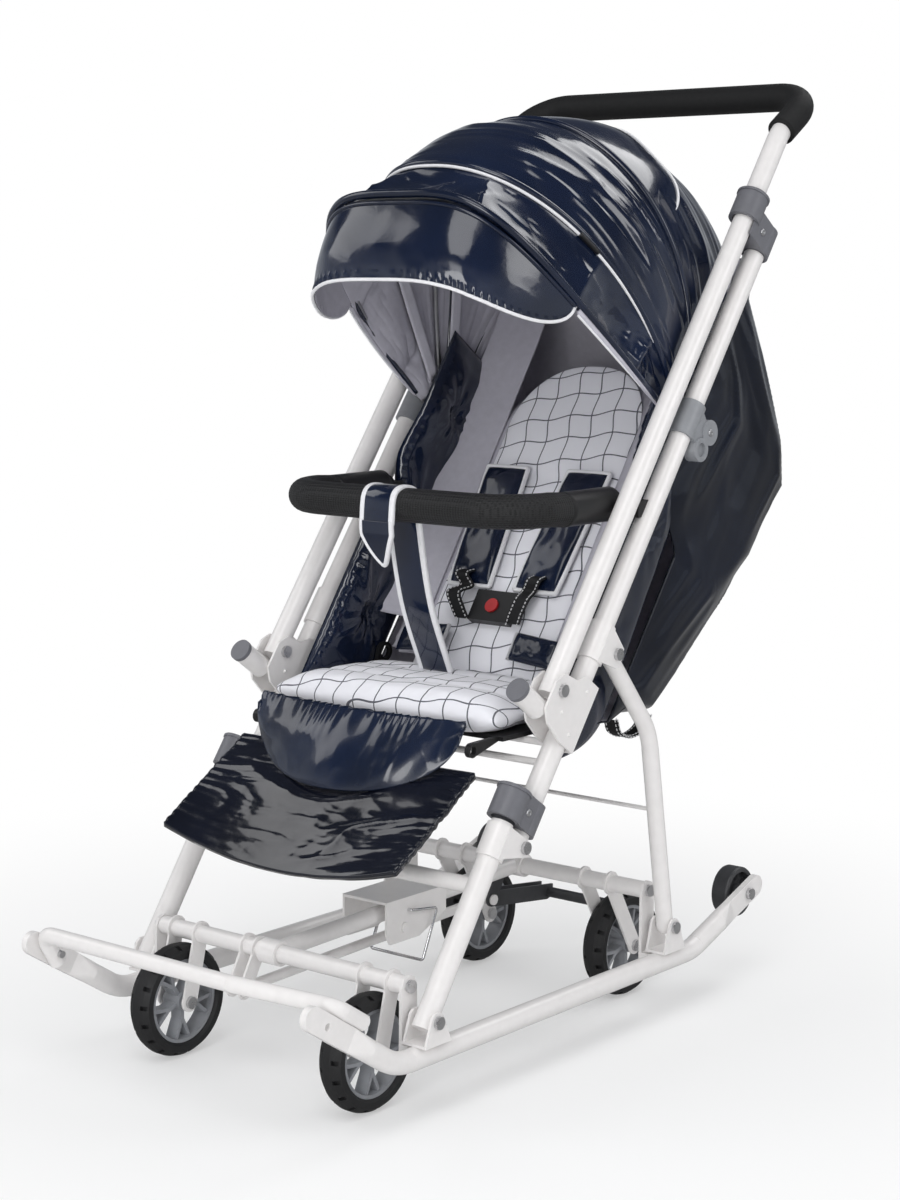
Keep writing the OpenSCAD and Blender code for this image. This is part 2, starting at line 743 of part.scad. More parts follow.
// The foam sleeve over the handle's top
module handle_grip() {
    kink = handle_side()[1];
    top = handle_side()[2];
    start = top + 0.62 * (kink - top);
    color(BLACK) difference() {
        bent_tube([start, top, mirror_x([top])[0], mirror_x([start])[0]], grip_r, 46);
        bent_tube([kink, top, mirror_x([top])[0], mirror_x([kink])[0]], tube_r + 0.02, 46);
    }
}

// Hood

module hood_knuckles() {
    s = 525;
    axis_s = (hood_axis - knee) * [cos(main_angle), sin(main_angle)];
    axis_off = (hood_axis - knee) * [-sin(main_angle), cos(main_angle)];
    color(GREY) pair() {
        translate([frame_half, 0, 0]) on_main() difference() {
            union() {
                translate([0, s, 0]) rotate([-90, 0, 0]) cylinder(r = tube_r + 3.4, h = 44);
                translate([1, axis_s, axis_off]) rotate([0, 90, 0]) cylinder(r = 15, h = 16);
                translate([1, axis_s - 26, axis_off + 4]) rotate([0, 90, 0]) cylinder(r = 14, h = 16);
                side_plate([[s + 4, 0], [s + 40, 0], [axis_s + 6, axis_off + 8], [axis_s - 30, axis_off + 8]], 2, 15);
            }
            translate([0, s - 10, 0]) rotate([-90, 0, 0]) cylinder(r = tube_r + 0.05, h = 80);
            translate([14, axis_s - 26, axis_off + 4]) rotate([0, 90, 0]) cylinder(r = 8, h = 10);
        }
        pin(hood_axis, frame_half - 13, 60, 5);
    }
}

// Outline of the hood's skin from side to side at a distance d inside the cover, as [x, radius]
function hood_point(v, d) = let (low = 46, c = cos(180 * v), s = sin(180 * v))
    [(hood_half - d) * sign(c) * pow(abs(c), 0.42), low + (hood_r - d - low) * pow(abs(s), 0.58)];

// Turns a skin point round the hood's axis
function hood_turn(q, a) = [q[0], hood_axis[0] + q[1] * cos(a), hood_axis[1] + q[1] * sin(a)];

// One panel of the hood between two angles; sink is how far the cloth sinks between the hoops
module hood_panel(a0, a1, d, sink, folds, nu = 8) {
    skin = function (u, v, t) let (drop = sink * pow(sin(180 * u), 2) * sin(180 * v) * (1 + 0.35 * cos(360 * folds * v)))
        hood_turn(hood_point(v, d + t + drop), a0 + (a1 - a0) * u);
    soft_slab(nu, 20, function (u, v) skin(u, v, 0), function (u, v) skin(u, v, hood_cloth));
}

hood_cloth = 2.2;
rear_d = 0;
main_d = 4.2;
front_d = 10;

// A flat batten under a panel, with an eye for the pivot at each end
module hood_hoop(a, d) {
    w = hood_half - d;
    color(BLACK) difference() {
        union() {
            hood_panel(a + 0.8, a - 0.8, d, 0, 0, 1);
            pair() {
                pin(hood_axis, w - hood_cloth / 2, hood_cloth, 12);
                at(hood_axis) rotate([a, 0, 0]) translate([w - hood_cloth, 0, -5]) cube([hood_cloth, 60, 10]);
            }
        }
        pin(hood_axis, 0, 600, 5 + run_fit);
    }
}

module hood_front_hoop() {
    hood_hoop(146, front_d + hood_cloth + 1.1);
}

module hood_main_hoop() {
    hood_hoop(114, main_d + hood_cloth + 0.5);
}

// The front panel with the visor that hangs from its hoop and curls in toward its lower edge
module hood_front() {
    skin = function (u, v, t) let (q = hood_point(0.13 + 0.74 * v, front_d + t),
            drop = 66 * u * pow(sin(180 * (0.06 + 0.88 * v)), 0.5))
        hood_turn(q, 146.9) + [0, 0.42 * drop * u - 4 * sin(180 * v) * u, -drop];
    color(NAVY) {
        hood_panel(147, 121, front_d, 3, 6);
        soft_slab(6, 20, function (u, v) skin(u, v, hood_cloth), function (u, v) skin(u, v, 0));
    }
}

module hood_main() {
    color(NAVY) hood_panel(126, 95, main_d, 0, 4);
}

module hood_rear() {
    color(NAVY) {
        hood_panel(100, 60, rear_d, -3, 3);
        pair() difference() {
            union() {
                pin(hood_axis, hood_half - rear_d - hood_cloth / 2, hood_cloth, 12);
                at(hood_axis) rotate([80, 0, 0]) translate([hood_half - rear_d - hood_cloth, 0, -14])
                    cube([hood_cloth, 60, 28]);
            }
            pin(hood_axis, 0, 600, 5.02);
        }
    }
}

// Seat

board_z = 369;

// The board under the cushion; two tabs in front carry the footrest's hinge
module seat_board() {
    y0 = -104;
    z = board_z;
    tab = seat_half - 15;
    color(BLACK) {
        translate([-seat_half + 6, y0, z]) cube([2 * seat_half - 12, 160, 5]);
        pair() difference() {
            union() {
                side_plate([[y0, z], [y0 + 40, z + 2], [y0, z + 5], [footrest_axis[0], footrest_axis[1] + 8],
                            [footrest_axis[0], footrest_axis[1] - 8]], tab - 3, tab + 3);
                pin(footrest_axis, tab, 6, 8);
            }
            pin(footrest_axis, tab, 20, 5 + run_fit);
        }
        // Two hooks behind the cushion hold the back pad's hinge rod
        pair() difference() {
            union() {
                side_plate([[51.5, z], [56, z], [recline_axis[0] + 12, recline_axis[1]],
                            [recline_axis[0] - 12, recline_axis[1]]], seat_half - 14, seat_half - 8);
                pin(recline_axis, seat_half - 11, 6, 12);
            }
            pin(recline_axis, seat_half - 11, 20, 8 + run_fit);
        }
    }
}

// A cushion with a crown, two sewn channels and a nose that rolls down in front
module seat_pad() {
    y0 = -136;
    y1 = 34;
    low = board_z + 5.3;
    top = function (u, v) let (k = crown(u, v), nose = pow(1 - v, 3), bow = 16 * (1 - pow(2 * u - 1, 2)) * pow(1 - v, 2))
        [(seat_half - 16 * pow(v, 6)) * (2 * u - 1), y0 + (y1 - y0) * v + 16 - bow,
         low + 9 + (seat_top - low - 9) * k - 12 * nose * k
         - 4 * k * (groove(v, 0.36, 0.05) + groove(v, 0.68, 0.05))];
    base = function (u, v) [top(u, v)[0], top(u, v)[1], low];
    color(WHITE) soft_slab(18, 14, top, base);
}

// The back pad: a board with a quilted face and an arched head
module backrest_pad() {
    len = 400;
    w = seat_half - 14;
    face = function (u, v, t) let (k = crown(u, v, 6), arch = 1 - 0.34 * v * pow(abs(2 * u - 1), 3),
            tuft = groove(v, 0.3, 0.05) + groove(v, 0.58, 0.05))
        [w * (2 * u - 1), 16 + len * v * arch, t + (t > 0 ? 9 * k - 3 * tuft * k : 0)];
    color(WHITE) at(recline_axis) rotate([56, 0, 0])
        soft_slab(14, 14, function (u, v) face(u, v, 7), function (u, v) face(u, v, -7));
    color(BLACK) pin(recline_axis, 0, 2 * (seat_half - 8), 8);
    color(BLACK) at(recline_axis) rotate([56, 0, 0]) translate([-40, 4, -5]) cube([80, 20, 10]);
}

// Outline of the cloth shell behind the seat, in the side view
function cover_line(v) = let (pts = [[52, 367.2], [190, 358], [345, 478], [471, 596], [466, 650], [425, 752],
        [380, 838], [347, 893]], n = len(pts) - 1, t = min(v * n, n - 0.0001), i = floor(t), f = t - i)
    pts[i] * (1 - f) + pts[i + 1] * f;

// The cloth shell behind the seat; its sides reach forward to the main tubes, open in front and above
module back_cover() {
    front = [-sin(main_angle), cos(main_angle)];
    skin = function (u, v, t) let (c = cos(180 * u), s = sin(180 * u),
            side = min(1, 5 * v) * max(0, (knee - cover_line(v)) * front - cover_gap),
            reach = side * (1 - pow(s, 0.3)) + t * max(s, 0.5),
            q = cover_line(v) + front * reach, fold = 4 * sin(180 * v) * s * cos(360 * 5 * u))
        [(cover_half - t) * sign(c) * pow(abs(c), 0.42), q[0] - fold, q[1]];
    color(NAVY) soft_slab(16, 16, function (u, v) skin(u, v, 0), function (u, v) skin(u, v, 2.5));
}

// Padded side panels with sewn tufts, between the tubes and the seat
module side_panels() {
    panel = function (u, v, t) let (k = crown(u, v, 6), s = 150 + 350 * u, off = -14 - 92 * v * (0.55 + 0.45 * u),
            tuft = groove(u, 0.35, 0.07) * groove(v, 0.5, 0.22) + groove(u, 0.7, 0.07) * groove(v, 0.5, 0.22))
        [t > 0 ? panel_out : panel_in - 3.2 * k + 2.6 * tuft * k, s, off];
    color(NAVY) pair() on_main()
        soft_slab(14, 8, function (u, v) panel(u, v, 0), function (u, v) panel(u, v, 1));
}

// The pleated flap that hangs in front of the seat, over the footrest
module apron() {
    w = seat_half - 26;
    sheet = function (u, v, t) let (c = 2 * u - 1, len = 54 * pow(1 - pow(abs(c), 2.6), 0.5) + 14,
            pleat = 3 * cos(360 * 9 * u) * pow(1 - v, 2))
        [w * c, -152 - 14 * (1 - c * c) - 44 * v * (1 - 0.8 * c * c) - pleat - t,
         375 - len * v * (1 - 0.25 * v)];
    color(NAVY) {
        soft_slab(24, 8, function (u, v) sheet(u, v, 0), function (u, v) sheet(u, v, 3));
        for (x = [-90, 0, 90]) rod([x, footrest_axis[0] - 5.2, footrest_axis[1]],
            [x, footrest_axis[0] - 9 - 14 * (1 - pow(x / w, 2)), footrest_axis[1] + 1], 3);
    }
}

// The rippled footrest panel, which hangs from its hinge rod
module footrest() {
    w = seat_half - 2;
    sheet = function (u, v, t) let (c = 2 * u - 1, sag = 26 * (1 - c * c) * v * v,
            ripple = 2 * sin(360 * 5 * v) * (0.4 + 0.6 * c * c))
        [w * c * (1 - 0.04 * v), footrest_axis[0] - 10 - 130 * v, footrest_axis[1] - 26 - 82 * v - sag + ripple + t];
    color(NAVY) {
        soft_slab(16, 18, function (u, v) sheet(u, v, 0), function (u, v) sheet(u, v, 8));
        pin(footrest_axis, 0, 2 * w - 8, 5);
        for (x = [54 - seat_half, seat_half - 54]) rod([x, footrest_axis[0], footrest_axis[1]],
            [x, footrest_axis[0] - 22, footrest_axis[1] - 26], 4);
    }
}

// The wire frame that stiffens the footrest from below
module footrest_wire() {
    x = 70;
    a = footrest_axis + [-16, -32.2];
    b = footrest_axis + [-96, -106];
    color(STEEL) bent_tube([[-x, a[0], a[1]], [-x, b[0], b[1]], [x, b[0], b[1]], [x, a[0], a[1]]], 2.2, 12);
}

bumper_z = 612;

// The bumper bar: a bent tube with a foam sleeve and two end sockets on the main tubes
module bumper_path(r, back) {
    x = frame_half - tube_r - bumper_r - 3.5;
    bent_tube([[x, back, bumper_z + 8], [x, -88, bumper_z], [-x, -88, bumper_z], [-x, back, bumper_z + 8]], r, 58);
}

module bumper_foam() {
    color(BLACK) difference() {
        bumper_path(bumper_r, 40);
        bumper_path(8.02, 84);
    }
}

// The bumper's tube, with a moulded socket at each end that clips on the main tube
module bumper_frame() {
    x = frame_half - tube_r - bumper_r - 3.5;
    color(BLACK) {
        bumper_path(8, 84);
        pair() difference() {
            union() {
                rod([x, 41.6, bumper_z + 6.1], [x, 96, bumper_z + 4], 13);
                translate([x - 10, 90, bumper_z - 10]) cube([frame_half - x + 12, 24, 19]);
            }
            translate([frame_half, 0, 0]) on_main() translate([0, 300, 0]) rotate([-90, 0, 0])
                cylinder(r = tube_r + 0.05, h = 300);
        }
    }
}

// The strap from the seat over the bumper
module crotch_strap() {
    r = bumper_r + 0.4;
    y = -88;
    color(NAVY) {
        difference() {
            pin([y, bumper_z], 0, 44, r + 3);
            pin([y, bumper_z], 0, 60, r);
            translate([-40, y - 60, bumper_z - 60]) cube([80, 120, 56]);
        }
        side_plate([[y - r - 3, bumper_z], [y - r, bumper_z], [y - r + 10, bumper_z - 56], [y - r + 8, bumper_z - 60]],
                   -18, 18);
        side_plate([[y + r, bumper_z], [y + r + 3, bumper_z], [-6, 470], [-4, seat_top - 2], [-8, seat_top - 2],
                    [-10, 470]], -20, 20);
    }
}

// Shoulder pads on the back pad, with webbing down to the buckle
module harness() {
    color(NAVY) at(recline_axis) rotate([56, 0, 0]) pair() {
        translate([58, 100, 16.3]) difference() {
            translate([-28, 0, 0]) cube([56, 150, 13]);
            for (s = [-1, 1]) translate([s * 34, -1, 15]) rotate([-90, 0, 0]) cylinder(r = 10, h = 160);
        }
        translate([45, 60, 16.3]) cube([24, 40, 3]);
        translate([30, 58, 16.3]) cube([39, 14, 3]);
    }
}

module buckle() {
    color(BLACK) at(recline_axis) rotate([56, 0, 0]) difference() {
        translate([-29.9, 44, 16.3]) cube([59.8, 40, 15]);
        translate([0, 64, 26]) cylinder(r = 9, h = 20);
    }
}

module buckle_button() {
    color([0.75, 0.08, 0.08]) at(recline_axis) rotate([56, 0, 0]) translate([0, 64, 29.5]) cylinder(r = 8.9, h = 4.3);
}

runners();
front_bar();
runner_brackets();
chassis_bolts();
spine_tube();
lock_channel();
lock_wire();
tail_roller_left();
tail_roller_right();
front_beam();
front_forks();
front_axle_bolts();
front_tyre_left();
front_tyre_right();
front_hub_left();
front_hub_right();
rear_beam();
rear_forks();
pedal_lever();
rear_axle_bolts();
rear_tyre_left();
rear_tyre_right();
rear_hub_left();
rear_hub_right();
link_bar();
lower_legs();
knee_clips();
rear_legs();
main_tubes();
seat_brackets();
stop_caps();
rear_hinge_brackets();
frame_bolts();
seat_rods();
lower_collar_left();
lower_collar_right();
handle_collar_left();
handle_collar_right();
handle_tube();
handle_grip();
hood_knuckles();
hood_front_hoop();
hood_main_hoop();
hood_front();
hood_main();
hood_rear();
seat_board();
seat_pad();
backrest_pad();
back_cover();
side_panels();
apron();
footrest();
footrest_wire();
bumper_frame();
bumper_foam();
crotch_strap();
harness();
buckle();
buckle_button();
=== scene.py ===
"""Looks of the sled stroller over its shared CAD frame.

The rigid CAD pieces keep their shape and get painted finishes. The cloth, foam and webbing are rebuilt here
with folds, piping and stitches, and so are the two hoops of the hood. Lengths in the piece definitions are
millimetres; meshes are metres.
"""
from __future__ import annotations

import json
import logging
import math
from dataclasses import dataclass
from enum import Enum
from typing import Callable, Sequence, Union

import bpy
import numpy as np
from bpy.types import Material, Mesh, Node, NodeSocket, NodeTree, Object, Scene
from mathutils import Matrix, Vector

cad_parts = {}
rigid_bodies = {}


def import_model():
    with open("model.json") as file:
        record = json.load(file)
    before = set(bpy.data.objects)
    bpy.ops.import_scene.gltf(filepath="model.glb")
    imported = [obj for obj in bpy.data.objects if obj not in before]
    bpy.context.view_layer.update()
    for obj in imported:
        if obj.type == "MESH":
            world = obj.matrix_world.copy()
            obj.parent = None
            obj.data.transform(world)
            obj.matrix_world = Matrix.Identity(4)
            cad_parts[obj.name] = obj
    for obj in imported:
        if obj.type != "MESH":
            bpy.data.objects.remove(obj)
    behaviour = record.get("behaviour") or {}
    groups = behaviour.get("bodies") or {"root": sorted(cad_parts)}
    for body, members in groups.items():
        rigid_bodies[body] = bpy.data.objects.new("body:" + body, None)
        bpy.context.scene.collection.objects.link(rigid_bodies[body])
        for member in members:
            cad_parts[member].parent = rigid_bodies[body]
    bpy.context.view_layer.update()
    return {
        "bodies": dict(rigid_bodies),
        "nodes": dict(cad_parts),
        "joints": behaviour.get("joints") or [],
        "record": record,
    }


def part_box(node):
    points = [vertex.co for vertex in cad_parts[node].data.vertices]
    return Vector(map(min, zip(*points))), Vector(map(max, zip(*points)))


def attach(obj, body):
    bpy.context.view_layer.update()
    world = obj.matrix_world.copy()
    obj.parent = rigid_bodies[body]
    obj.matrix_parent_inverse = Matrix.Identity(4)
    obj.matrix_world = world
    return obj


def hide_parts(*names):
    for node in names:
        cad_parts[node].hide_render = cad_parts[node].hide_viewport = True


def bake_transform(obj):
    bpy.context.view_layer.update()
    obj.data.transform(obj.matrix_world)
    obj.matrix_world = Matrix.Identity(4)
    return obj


LOG = logging.getLogger("sled_stroller")
MM = 0.001
Array = np.ndarray
Pair = tuple[float, float]
Triple = tuple[float, float, float]
Colour = Triple
Rows = Sequence[Sequence[float]]
# Patches for arrays u and v in 0..1: points in mm, points on the front or the back, and moves outward in mm.
Place = Callable[[Array, Array], Array]
Face = Callable[[Array, Array, bool], Array]
Lift = Callable[[Array, Array], Array]
Value = Union[NodeSocket, float, tuple]

KNEE = (-134.6, 264.5)
MAIN_ANGLE = math.radians(53.9)
HOOD_AXIS = (213.0, 692.0)
RECLINE_AXIS = (78.0, 412.0)
RECLINE_ANGLE = math.radians(56.0)
SEAT_TURN = -0.5
HALF_WIDTH = 184.0
SIDES = ((-1, "right"), (1, "left"))
LEVEL = (1.0, 0.0, 0.0)


class Cloth(Enum):
    """How a sheet is held on the stroller."""

    STRETCHED = "stretched"
    GATHERED = "gathered"
    HUNG = "hung"


class NodeNet:
    """A small helper that builds a shader from nodes."""

    def __init__(self, tree: NodeTree) -> None:
        """Take a node tree and add its coordinates."""
        self.tree = tree
        self.shader = tree.nodes.get("Principled BSDF")
        self.coords = self.node("TexCoord").outputs

    def feed(self, socket: NodeSocket, value: Value) -> None:
        """Give an input a number, a colour or another socket."""
        if isinstance(value, (int, float, tuple)):
            socket.default_value = value
        else:
            self.tree.links.new(value, socket)

    def node(self, kind: str, inputs: dict[str | int, Value] | None = None, **settings: str) -> Node:
        """Add a node.

        Args:
            kind: type of the node.
            inputs: values or sockets for its inputs.
            settings: its properties.
        Returns:
            The node.
        """
        node = self.tree.nodes.new(f"ShaderNode{kind}")
        for label, value in settings.items():
            setattr(node, label, value)
        for label, value in (inputs or {}).items():
            self.feed(node.inputs[label], value)
        return node

    def shade(self, inputs: dict[str, Value]) -> None:
        """Set inputs of the material's own shader."""
        for label, value in inputs.items():
            self.feed(self.shader.inputs[label], value)

    def vector(self, scale: Colour = (1.0, 1.0, 1.0), turn: float = 0.0) -> NodeSocket:
        """Object coordinates, turned about X and scaled."""
        return self.node("Mapping", {"Rotation": (turn, 0.0, 0.0), "Scale": scale,
                                     "Vector": self.coords["Object"]}).outputs["Vector"]

    def noise(self, scale: float, detail: float, distortion: float = 0.0, kind: str = "FBM") -> NodeSocket:
        """A noise value."""
        return self.node("TexNoise", {"Scale": scale, "Detail": detail, "Distortion": distortion,
                                      "Vector": self.vector()}, noise_type=kind).outputs["Fac"]

    def math(self, op: str, a: Value, b: Value = 0.0) -> NodeSocket:
        """One arithmetic step."""
        return self.node("Math", {0: a, 1: b}, operation=op).outputs[0]

    def ramp(self, value: NodeSocket, *stops: tuple[float, Colour]) -> NodeSocket:
        """A colour between two stops."""
        node = self.node("ValToRGB", {0: value})
        for stop, (place, colour) in zip(node.color_ramp.elements, stops):
            stop.position, stop.color = place, (*colour, 1.0)
        return node.outputs[0]

    def span(self, value: NodeSocket, low: float, high: float) -> NodeSocket:
        """Map 0..1 to low..high."""
        return self.node("MapRange", {"To Min": low, "To Max": high, "Value": value}).outputs[0]

    def bump(self, height: NodeSocket, strength: float, distance: float, below: NodeSocket | None = None
             ) -> NodeSocket:
        """A bump normal, on top of another one."""
        under = {"Normal": below} if below else {}
        return self.node("Bump", {"Strength": strength, "Distance": distance, "Height": height, **under}).outputs[0]

    def layer(self, below: NodeSocket, above: NodeSocket, share: Value, *rays: str) -> NodeSocket:
        """Show one shader over another to some kinds of rays.

        Args:
            below: shader for all other rays.
            above: shader for the rays.
            share: how much of it shows.
            rays: outputs of the light path.
        Returns:
            The mixed shader.
        """
        path = self.node("LightPath").outputs
        kind = path[rays[0]]
        for name in rays[1:]:
            kind = self.math("MAXIMUM", kind, path[name])
        return self.node("MixShader", {0: self.math("MULTIPLY", kind, share), 1: below, 2: above}).outputs[0]


class Look:
    """A material that is made once."""

    name: str

    def build(self) -> Material:
        """Make the material, or give the one made before.

        Returns:
            The material.
        """
        mat = bpy.data.materials.get(self.name)
        if not mat:
            mat = bpy.data.materials.new(self.name)
            mat.use_nodes = True
            self.paint(NodeNet(mat.node_tree))
        return mat

    def paint(self, net: NodeNet) -> None:
        """Join the material's nodes."""
        raise NotImplementedError


@dataclass(frozen=True)
class Finish(Look):
    """A plain procedural finish.

    Args:
        name: material name.
        base: linear base colour.
        roughness: surface roughness.
        metallic: metal share.
        coat: clear coat share.
        grain: bump noise scale per metre.
        depth: bump strength.
        mottle: share of colour change over the surface.
    """

    name: str
    base: Colour
    roughness: float
    metallic: float = 0.0
    coat: float = 0.0
    grain: float = 220.0
    depth: float = 0.05
    mottle: float = 0.12

    def paint(self, net: NodeNet) -> None:
        """Spots of colour and roughness over a fine grain."""
        spots = net.noise(self.grain * 0.12, 3.0)
        low, high = (tuple(min(1.0, c * k) for c in self.base) for k in (1 - self.mottle, 1 + self.mottle))
        net.shade({"Metallic": self.metallic, "Coat Weight": self.coat, "Coat Roughness": 0.06,
                   "Base Color": net.ramp(spots, (0.3, low), (0.7, high)),
                   "Roughness": net.span(spots, self.roughness * 0.85, self.roughness * 1.15),
                   "Normal": net.bump(net.noise(self.grain, 4.0), self.depth, 0.0006)})


@dataclass(frozen=True)
class PatentCloth(Look):
    """Shiny coated cloth with soft crumples.

    Args:
        name: material name.
        base: linear base colour.
        crumple: bump strength of the folds.
        gloss: clear coat share.
        rough: least roughness.
        mirror: specular level.
    """

    name: str
    base: Colour
    crumple: float
    gloss: float
    rough: float
    mirror: float

    def paint(self, net: NodeNet) -> None:
        """Ridged folds under small wrinkles."""
        folds = net.bump(net.noise(13.0, 3.0, 0.9, "RIDGED_MULTIFRACTAL"), self.crumple, 0.004)
        light = tuple(c * 1.7 for c in self.base)
        net.shade({"Coat Weight": self.gloss, "Coat Roughness": 0.05, "Specular IOR Level": self.mirror,
                   "Base Color": net.ramp(net.noise(9.0, 2.0), (0.35, self.base), (0.7, light)),
                   "Roughness": net.span(net.noise(30.0, 2.0), self.rough, self.rough * 2.4),
                   "Normal": net.bump(net.noise(60.0, 2.0, 0.6), self.crumple * 0.35, 0.0012, folds)})


@dataclass(frozen=True)
class NetPrint(Look):
    """White cloth with a net of thin wavy lines.

    Args:
        name: material name.
        turn: turn about X that lays the cloth flat.
        cell: width of one cell, m.
        tilt: slope of the net on the cloth.
    """

    name: str
    turn: float
    cell: float = 0.032
    tilt: float = 0.16

    def paint(self, net: NodeNet) -> None:
        """Two sets of wavy lines over a weave."""
        x, y, _ = net.node("SeparateXYZ", {0: net.vector(turn=self.turn)}).outputs
        u = net.math("ADD", x, net.math("MULTIPLY", y, self.tilt))
        v = net.math("SUBTRACT", y, net.math("MULTIPLY", x, self.tilt))
        lines = []
        for along, across in ((u, v), (v, u)):
            wave = net.math("SINE", net.math("MULTIPLY", across, 2 * math.pi / (self.cell * 2)))
            place = net.math("ADD", net.math("DIVIDE", along, self.cell), net.math("MULTIPLY", wave, 0.07))
            away = net.math("ABSOLUTE", net.math("SUBTRACT", net.math("FRACT", place), 0.5))
            lines.append(net.math("LESS_THAN", away, 0.028))
        weave = net.bump(net.noise(900.0, 2.0), 0.15, 0.0005)
        net.shade({"Base Color": net.ramp(net.math("MAXIMUM", *lines), (0.0, (0.90, 0.90, 0.95)),
                                          (1.0, (0.11, 0.113, 0.135))),
                   "Roughness": 0.75, "Sheen Weight": 0.2,
                   "Normal": net.bump(net.noise(24.0, 2.0), 0.25, 0.003, weave)})


@dataclass(frozen=True)
class KnitMesh(Look):
    """Black spacer mesh over foam."""

    name: str = "knit_mesh"

    def paint(self, net: NodeNet) -> None:
        """Rows of small holes."""
        holes = net.node("TexVoronoi", {"Scale": 1.0, "Randomness": 0.12,
                                        "Vector": net.vector((260.0, 260.0, 420.0))}).outputs["Distance"]
        net.shade({"Base Color": net.ramp(holes, (0.15, (0.002, 0.002, 0.002)), (0.5, (0.016, 0.016, 0.017))),
                   "Roughness": 0.62, "Normal": net.bump(holes, 0.8, 0.0018)})


@dataclass(frozen=True)
class FloorWhite(Look):
    """Floor that keeps the shadow near the object and turns plain white further out."""

    name: str = "floor_white"

    def paint(self, net: NodeNet) -> None:
        """White to the camera, dim to shiny faces."""
        net.shade({"Base Color": (0.93, 0.93, 0.93, 1.0), "Roughness": 0.85, "Specular IOR Level": 0.1})
        far = net.node("VectorMath", {0: net.coords["Object"]}, operation="LENGTH").outputs["Value"]
        fade = net.node("MapRange", {"From Min": 0.2, "From Max": 1.3, "To Min": 0.35, "To Max": 1.0,
                                     "Value": far}, interpolation_type="SMOOTHSTEP").outputs[0]
        dim, glow = (net.node("Emission", {"Strength": power}).outputs[0] for power in (0.22, 1.0))
        shown = net.layer(net.shader.outputs[0], dim, 0.85, "Is Glossy Ray")
        shown = net.layer(shown, glow, fade, "Is Camera Ray", "Is Transmission Ray")
        net.feed(net.tree.nodes["Material Output"].inputs["Surface"], shown)


WHITE_PAINT = Finish("white_powder_coat", (0.83, 0.81, 0.80), 0.32, coat=0.35, grain=700.0, depth=0.008,
                     mottle=0.02)
ZINC = Finish("zinc_bolts", (0.62, 0.62, 0.63), 0.28, metallic=1.0, grain=500.0)
CHROME = Finish("bright_wire", (0.80, 0.80, 0.81), 0.12, metallic=1.0, grain=300.0, depth=0.02)
STEEL = Finish("hoop_steel", (0.45, 0.45, 0.46), 0.35, metallic=1.0, grain=400.0, depth=0.03)
GREY = Finish("moulded_grey", (0.155, 0.157, 0.175), 0.42, grain=900.0, depth=0.08, mottle=0.05)
KNUCKLE = Finish("knuckle_plastic", (0.27, 0.28, 0.30), 0.38, grain=900.0, depth=0.06, mottle=0.05)
DARK = Finish("dark_plastic", (0.045, 0.046, 0.05), 0.45, grain=800.0, depth=0.08)
BLACK = Finish("black_moulding", (0.011, 0.011, 0.012), 0.42, grain=800.0, depth=0.08)
RUBBER = Finish("tyre_rubber", (0.014, 0.014, 0.015), 0.62, grain=600.0, depth=0.15)
GRIP = Finish("grip_foam", (0.006, 0.006, 0.0065), 0.72, grain=1400.0, depth=0.3)
LINING = Finish("grey_lining", (0.50, 0.49, 0.55), 0.85, grain=900.0, depth=0.15, mottle=0.05)
SEAM_CLOTH = Finish("lining_seams", (0.62, 0.61, 0.67), 0.8, grain=900.0, depth=0.15, mottle=0.04)
WHITE_TRIM = Finish("white_piping", (0.82, 0.82, 0.84), 0.55, grain=1200.0, depth=0.1, mottle=0.03)
WEBBING = Finish("black_webbing", (0.010, 0.010, 0.011), 0.7, grain=1600.0, depth=0.35)
RED = Finish("red_button", (0.45, 0.012, 0.015), 0.35, grain=500.0, depth=0.03)
THREAD = Finish("white_thread", (0.75, 0.75, 0.76), 0.6, grain=2000.0, depth=0.1)
PATENT = PatentCloth("patent_navy", (0.005, 0.009, 0.024), 0.5, 0.6, 0.09, 0.5)
BAG_PATENT = PatentCloth("patent_bag", (0.003, 0.005, 0.012), 0.25, 0.3, 0.12, 0.3)
FOOT_PATENT = PatentCloth("patent_footrest", (0.004, 0.005, 0.010), 0.35, 0.6, 0.09, 0.5)
PAD_PATENT = PatentCloth("patent_pads", (0.005, 0.009, 0.024), 0.12, 0.4, 0.13, 0.4)
APRON_PATENT = PatentCloth("patent_apron", (0.006, 0.011, 0.028), 0.15, 0.6, 0.14, 0.5)

NODE_FINISH: dict[Finish, str] = {
    WHITE_PAINT: "runners front_bar runner_brackets spine_tube lock_channel front_beam front_forks rear_beam "
                 "rear_forks link_bar lower_legs rear_legs main_tubes rear_hinge_brackets seat_rods handle_tube "
                 "seat_brackets knee_clips",
    ZINC: "chassis_bolts front_axle_bolts rear_axle_bolts frame_bolts",
    CHROME: "lock_wire footrest_wire",
    GREY: "stop_caps lower_collar_left lower_collar_right handle_collar_left handle_collar_right",
    KNUCKLE: "hood_knuckles front_hub_left front_hub_right rear_hub_left rear_hub_right",
    DARK: "tail_roller_left tail_roller_right pedal_lever",
    BLACK: "buckle seat_board bumper_frame",
    RUBBER: "front_tyre_left front_tyre_right rear_tyre_left rear_tyre_right",
    RED: "buckle_button",
}


def xyz(x: Array | float, y: Array | float, z: Array | float) -> Array:
    """Points from their coordinates, each an array or one number for all."""
    return np.stack(np.broadcast_arrays(x, y, z), -1)


def tilted(origin: tuple[float, float], angle: float, x: Array, up: Array, out: Array) -> Array:
    """Points in a plane that leans back: up along it from an origin (y, z), out to its front."""
    c, n = math.cos(angle), math.sin(angle)
    return xyz(x, origin[0] + up * c - out * n, origin[1] + up * n + out * c)


def main_at(x: Array, s: Array, off: Array) -> Array:
    """Points in the main tubes' plane: s along the tube from the knee, off to its front."""
    return tilted(KNEE, MAIN_ANGLE, x, s, off)


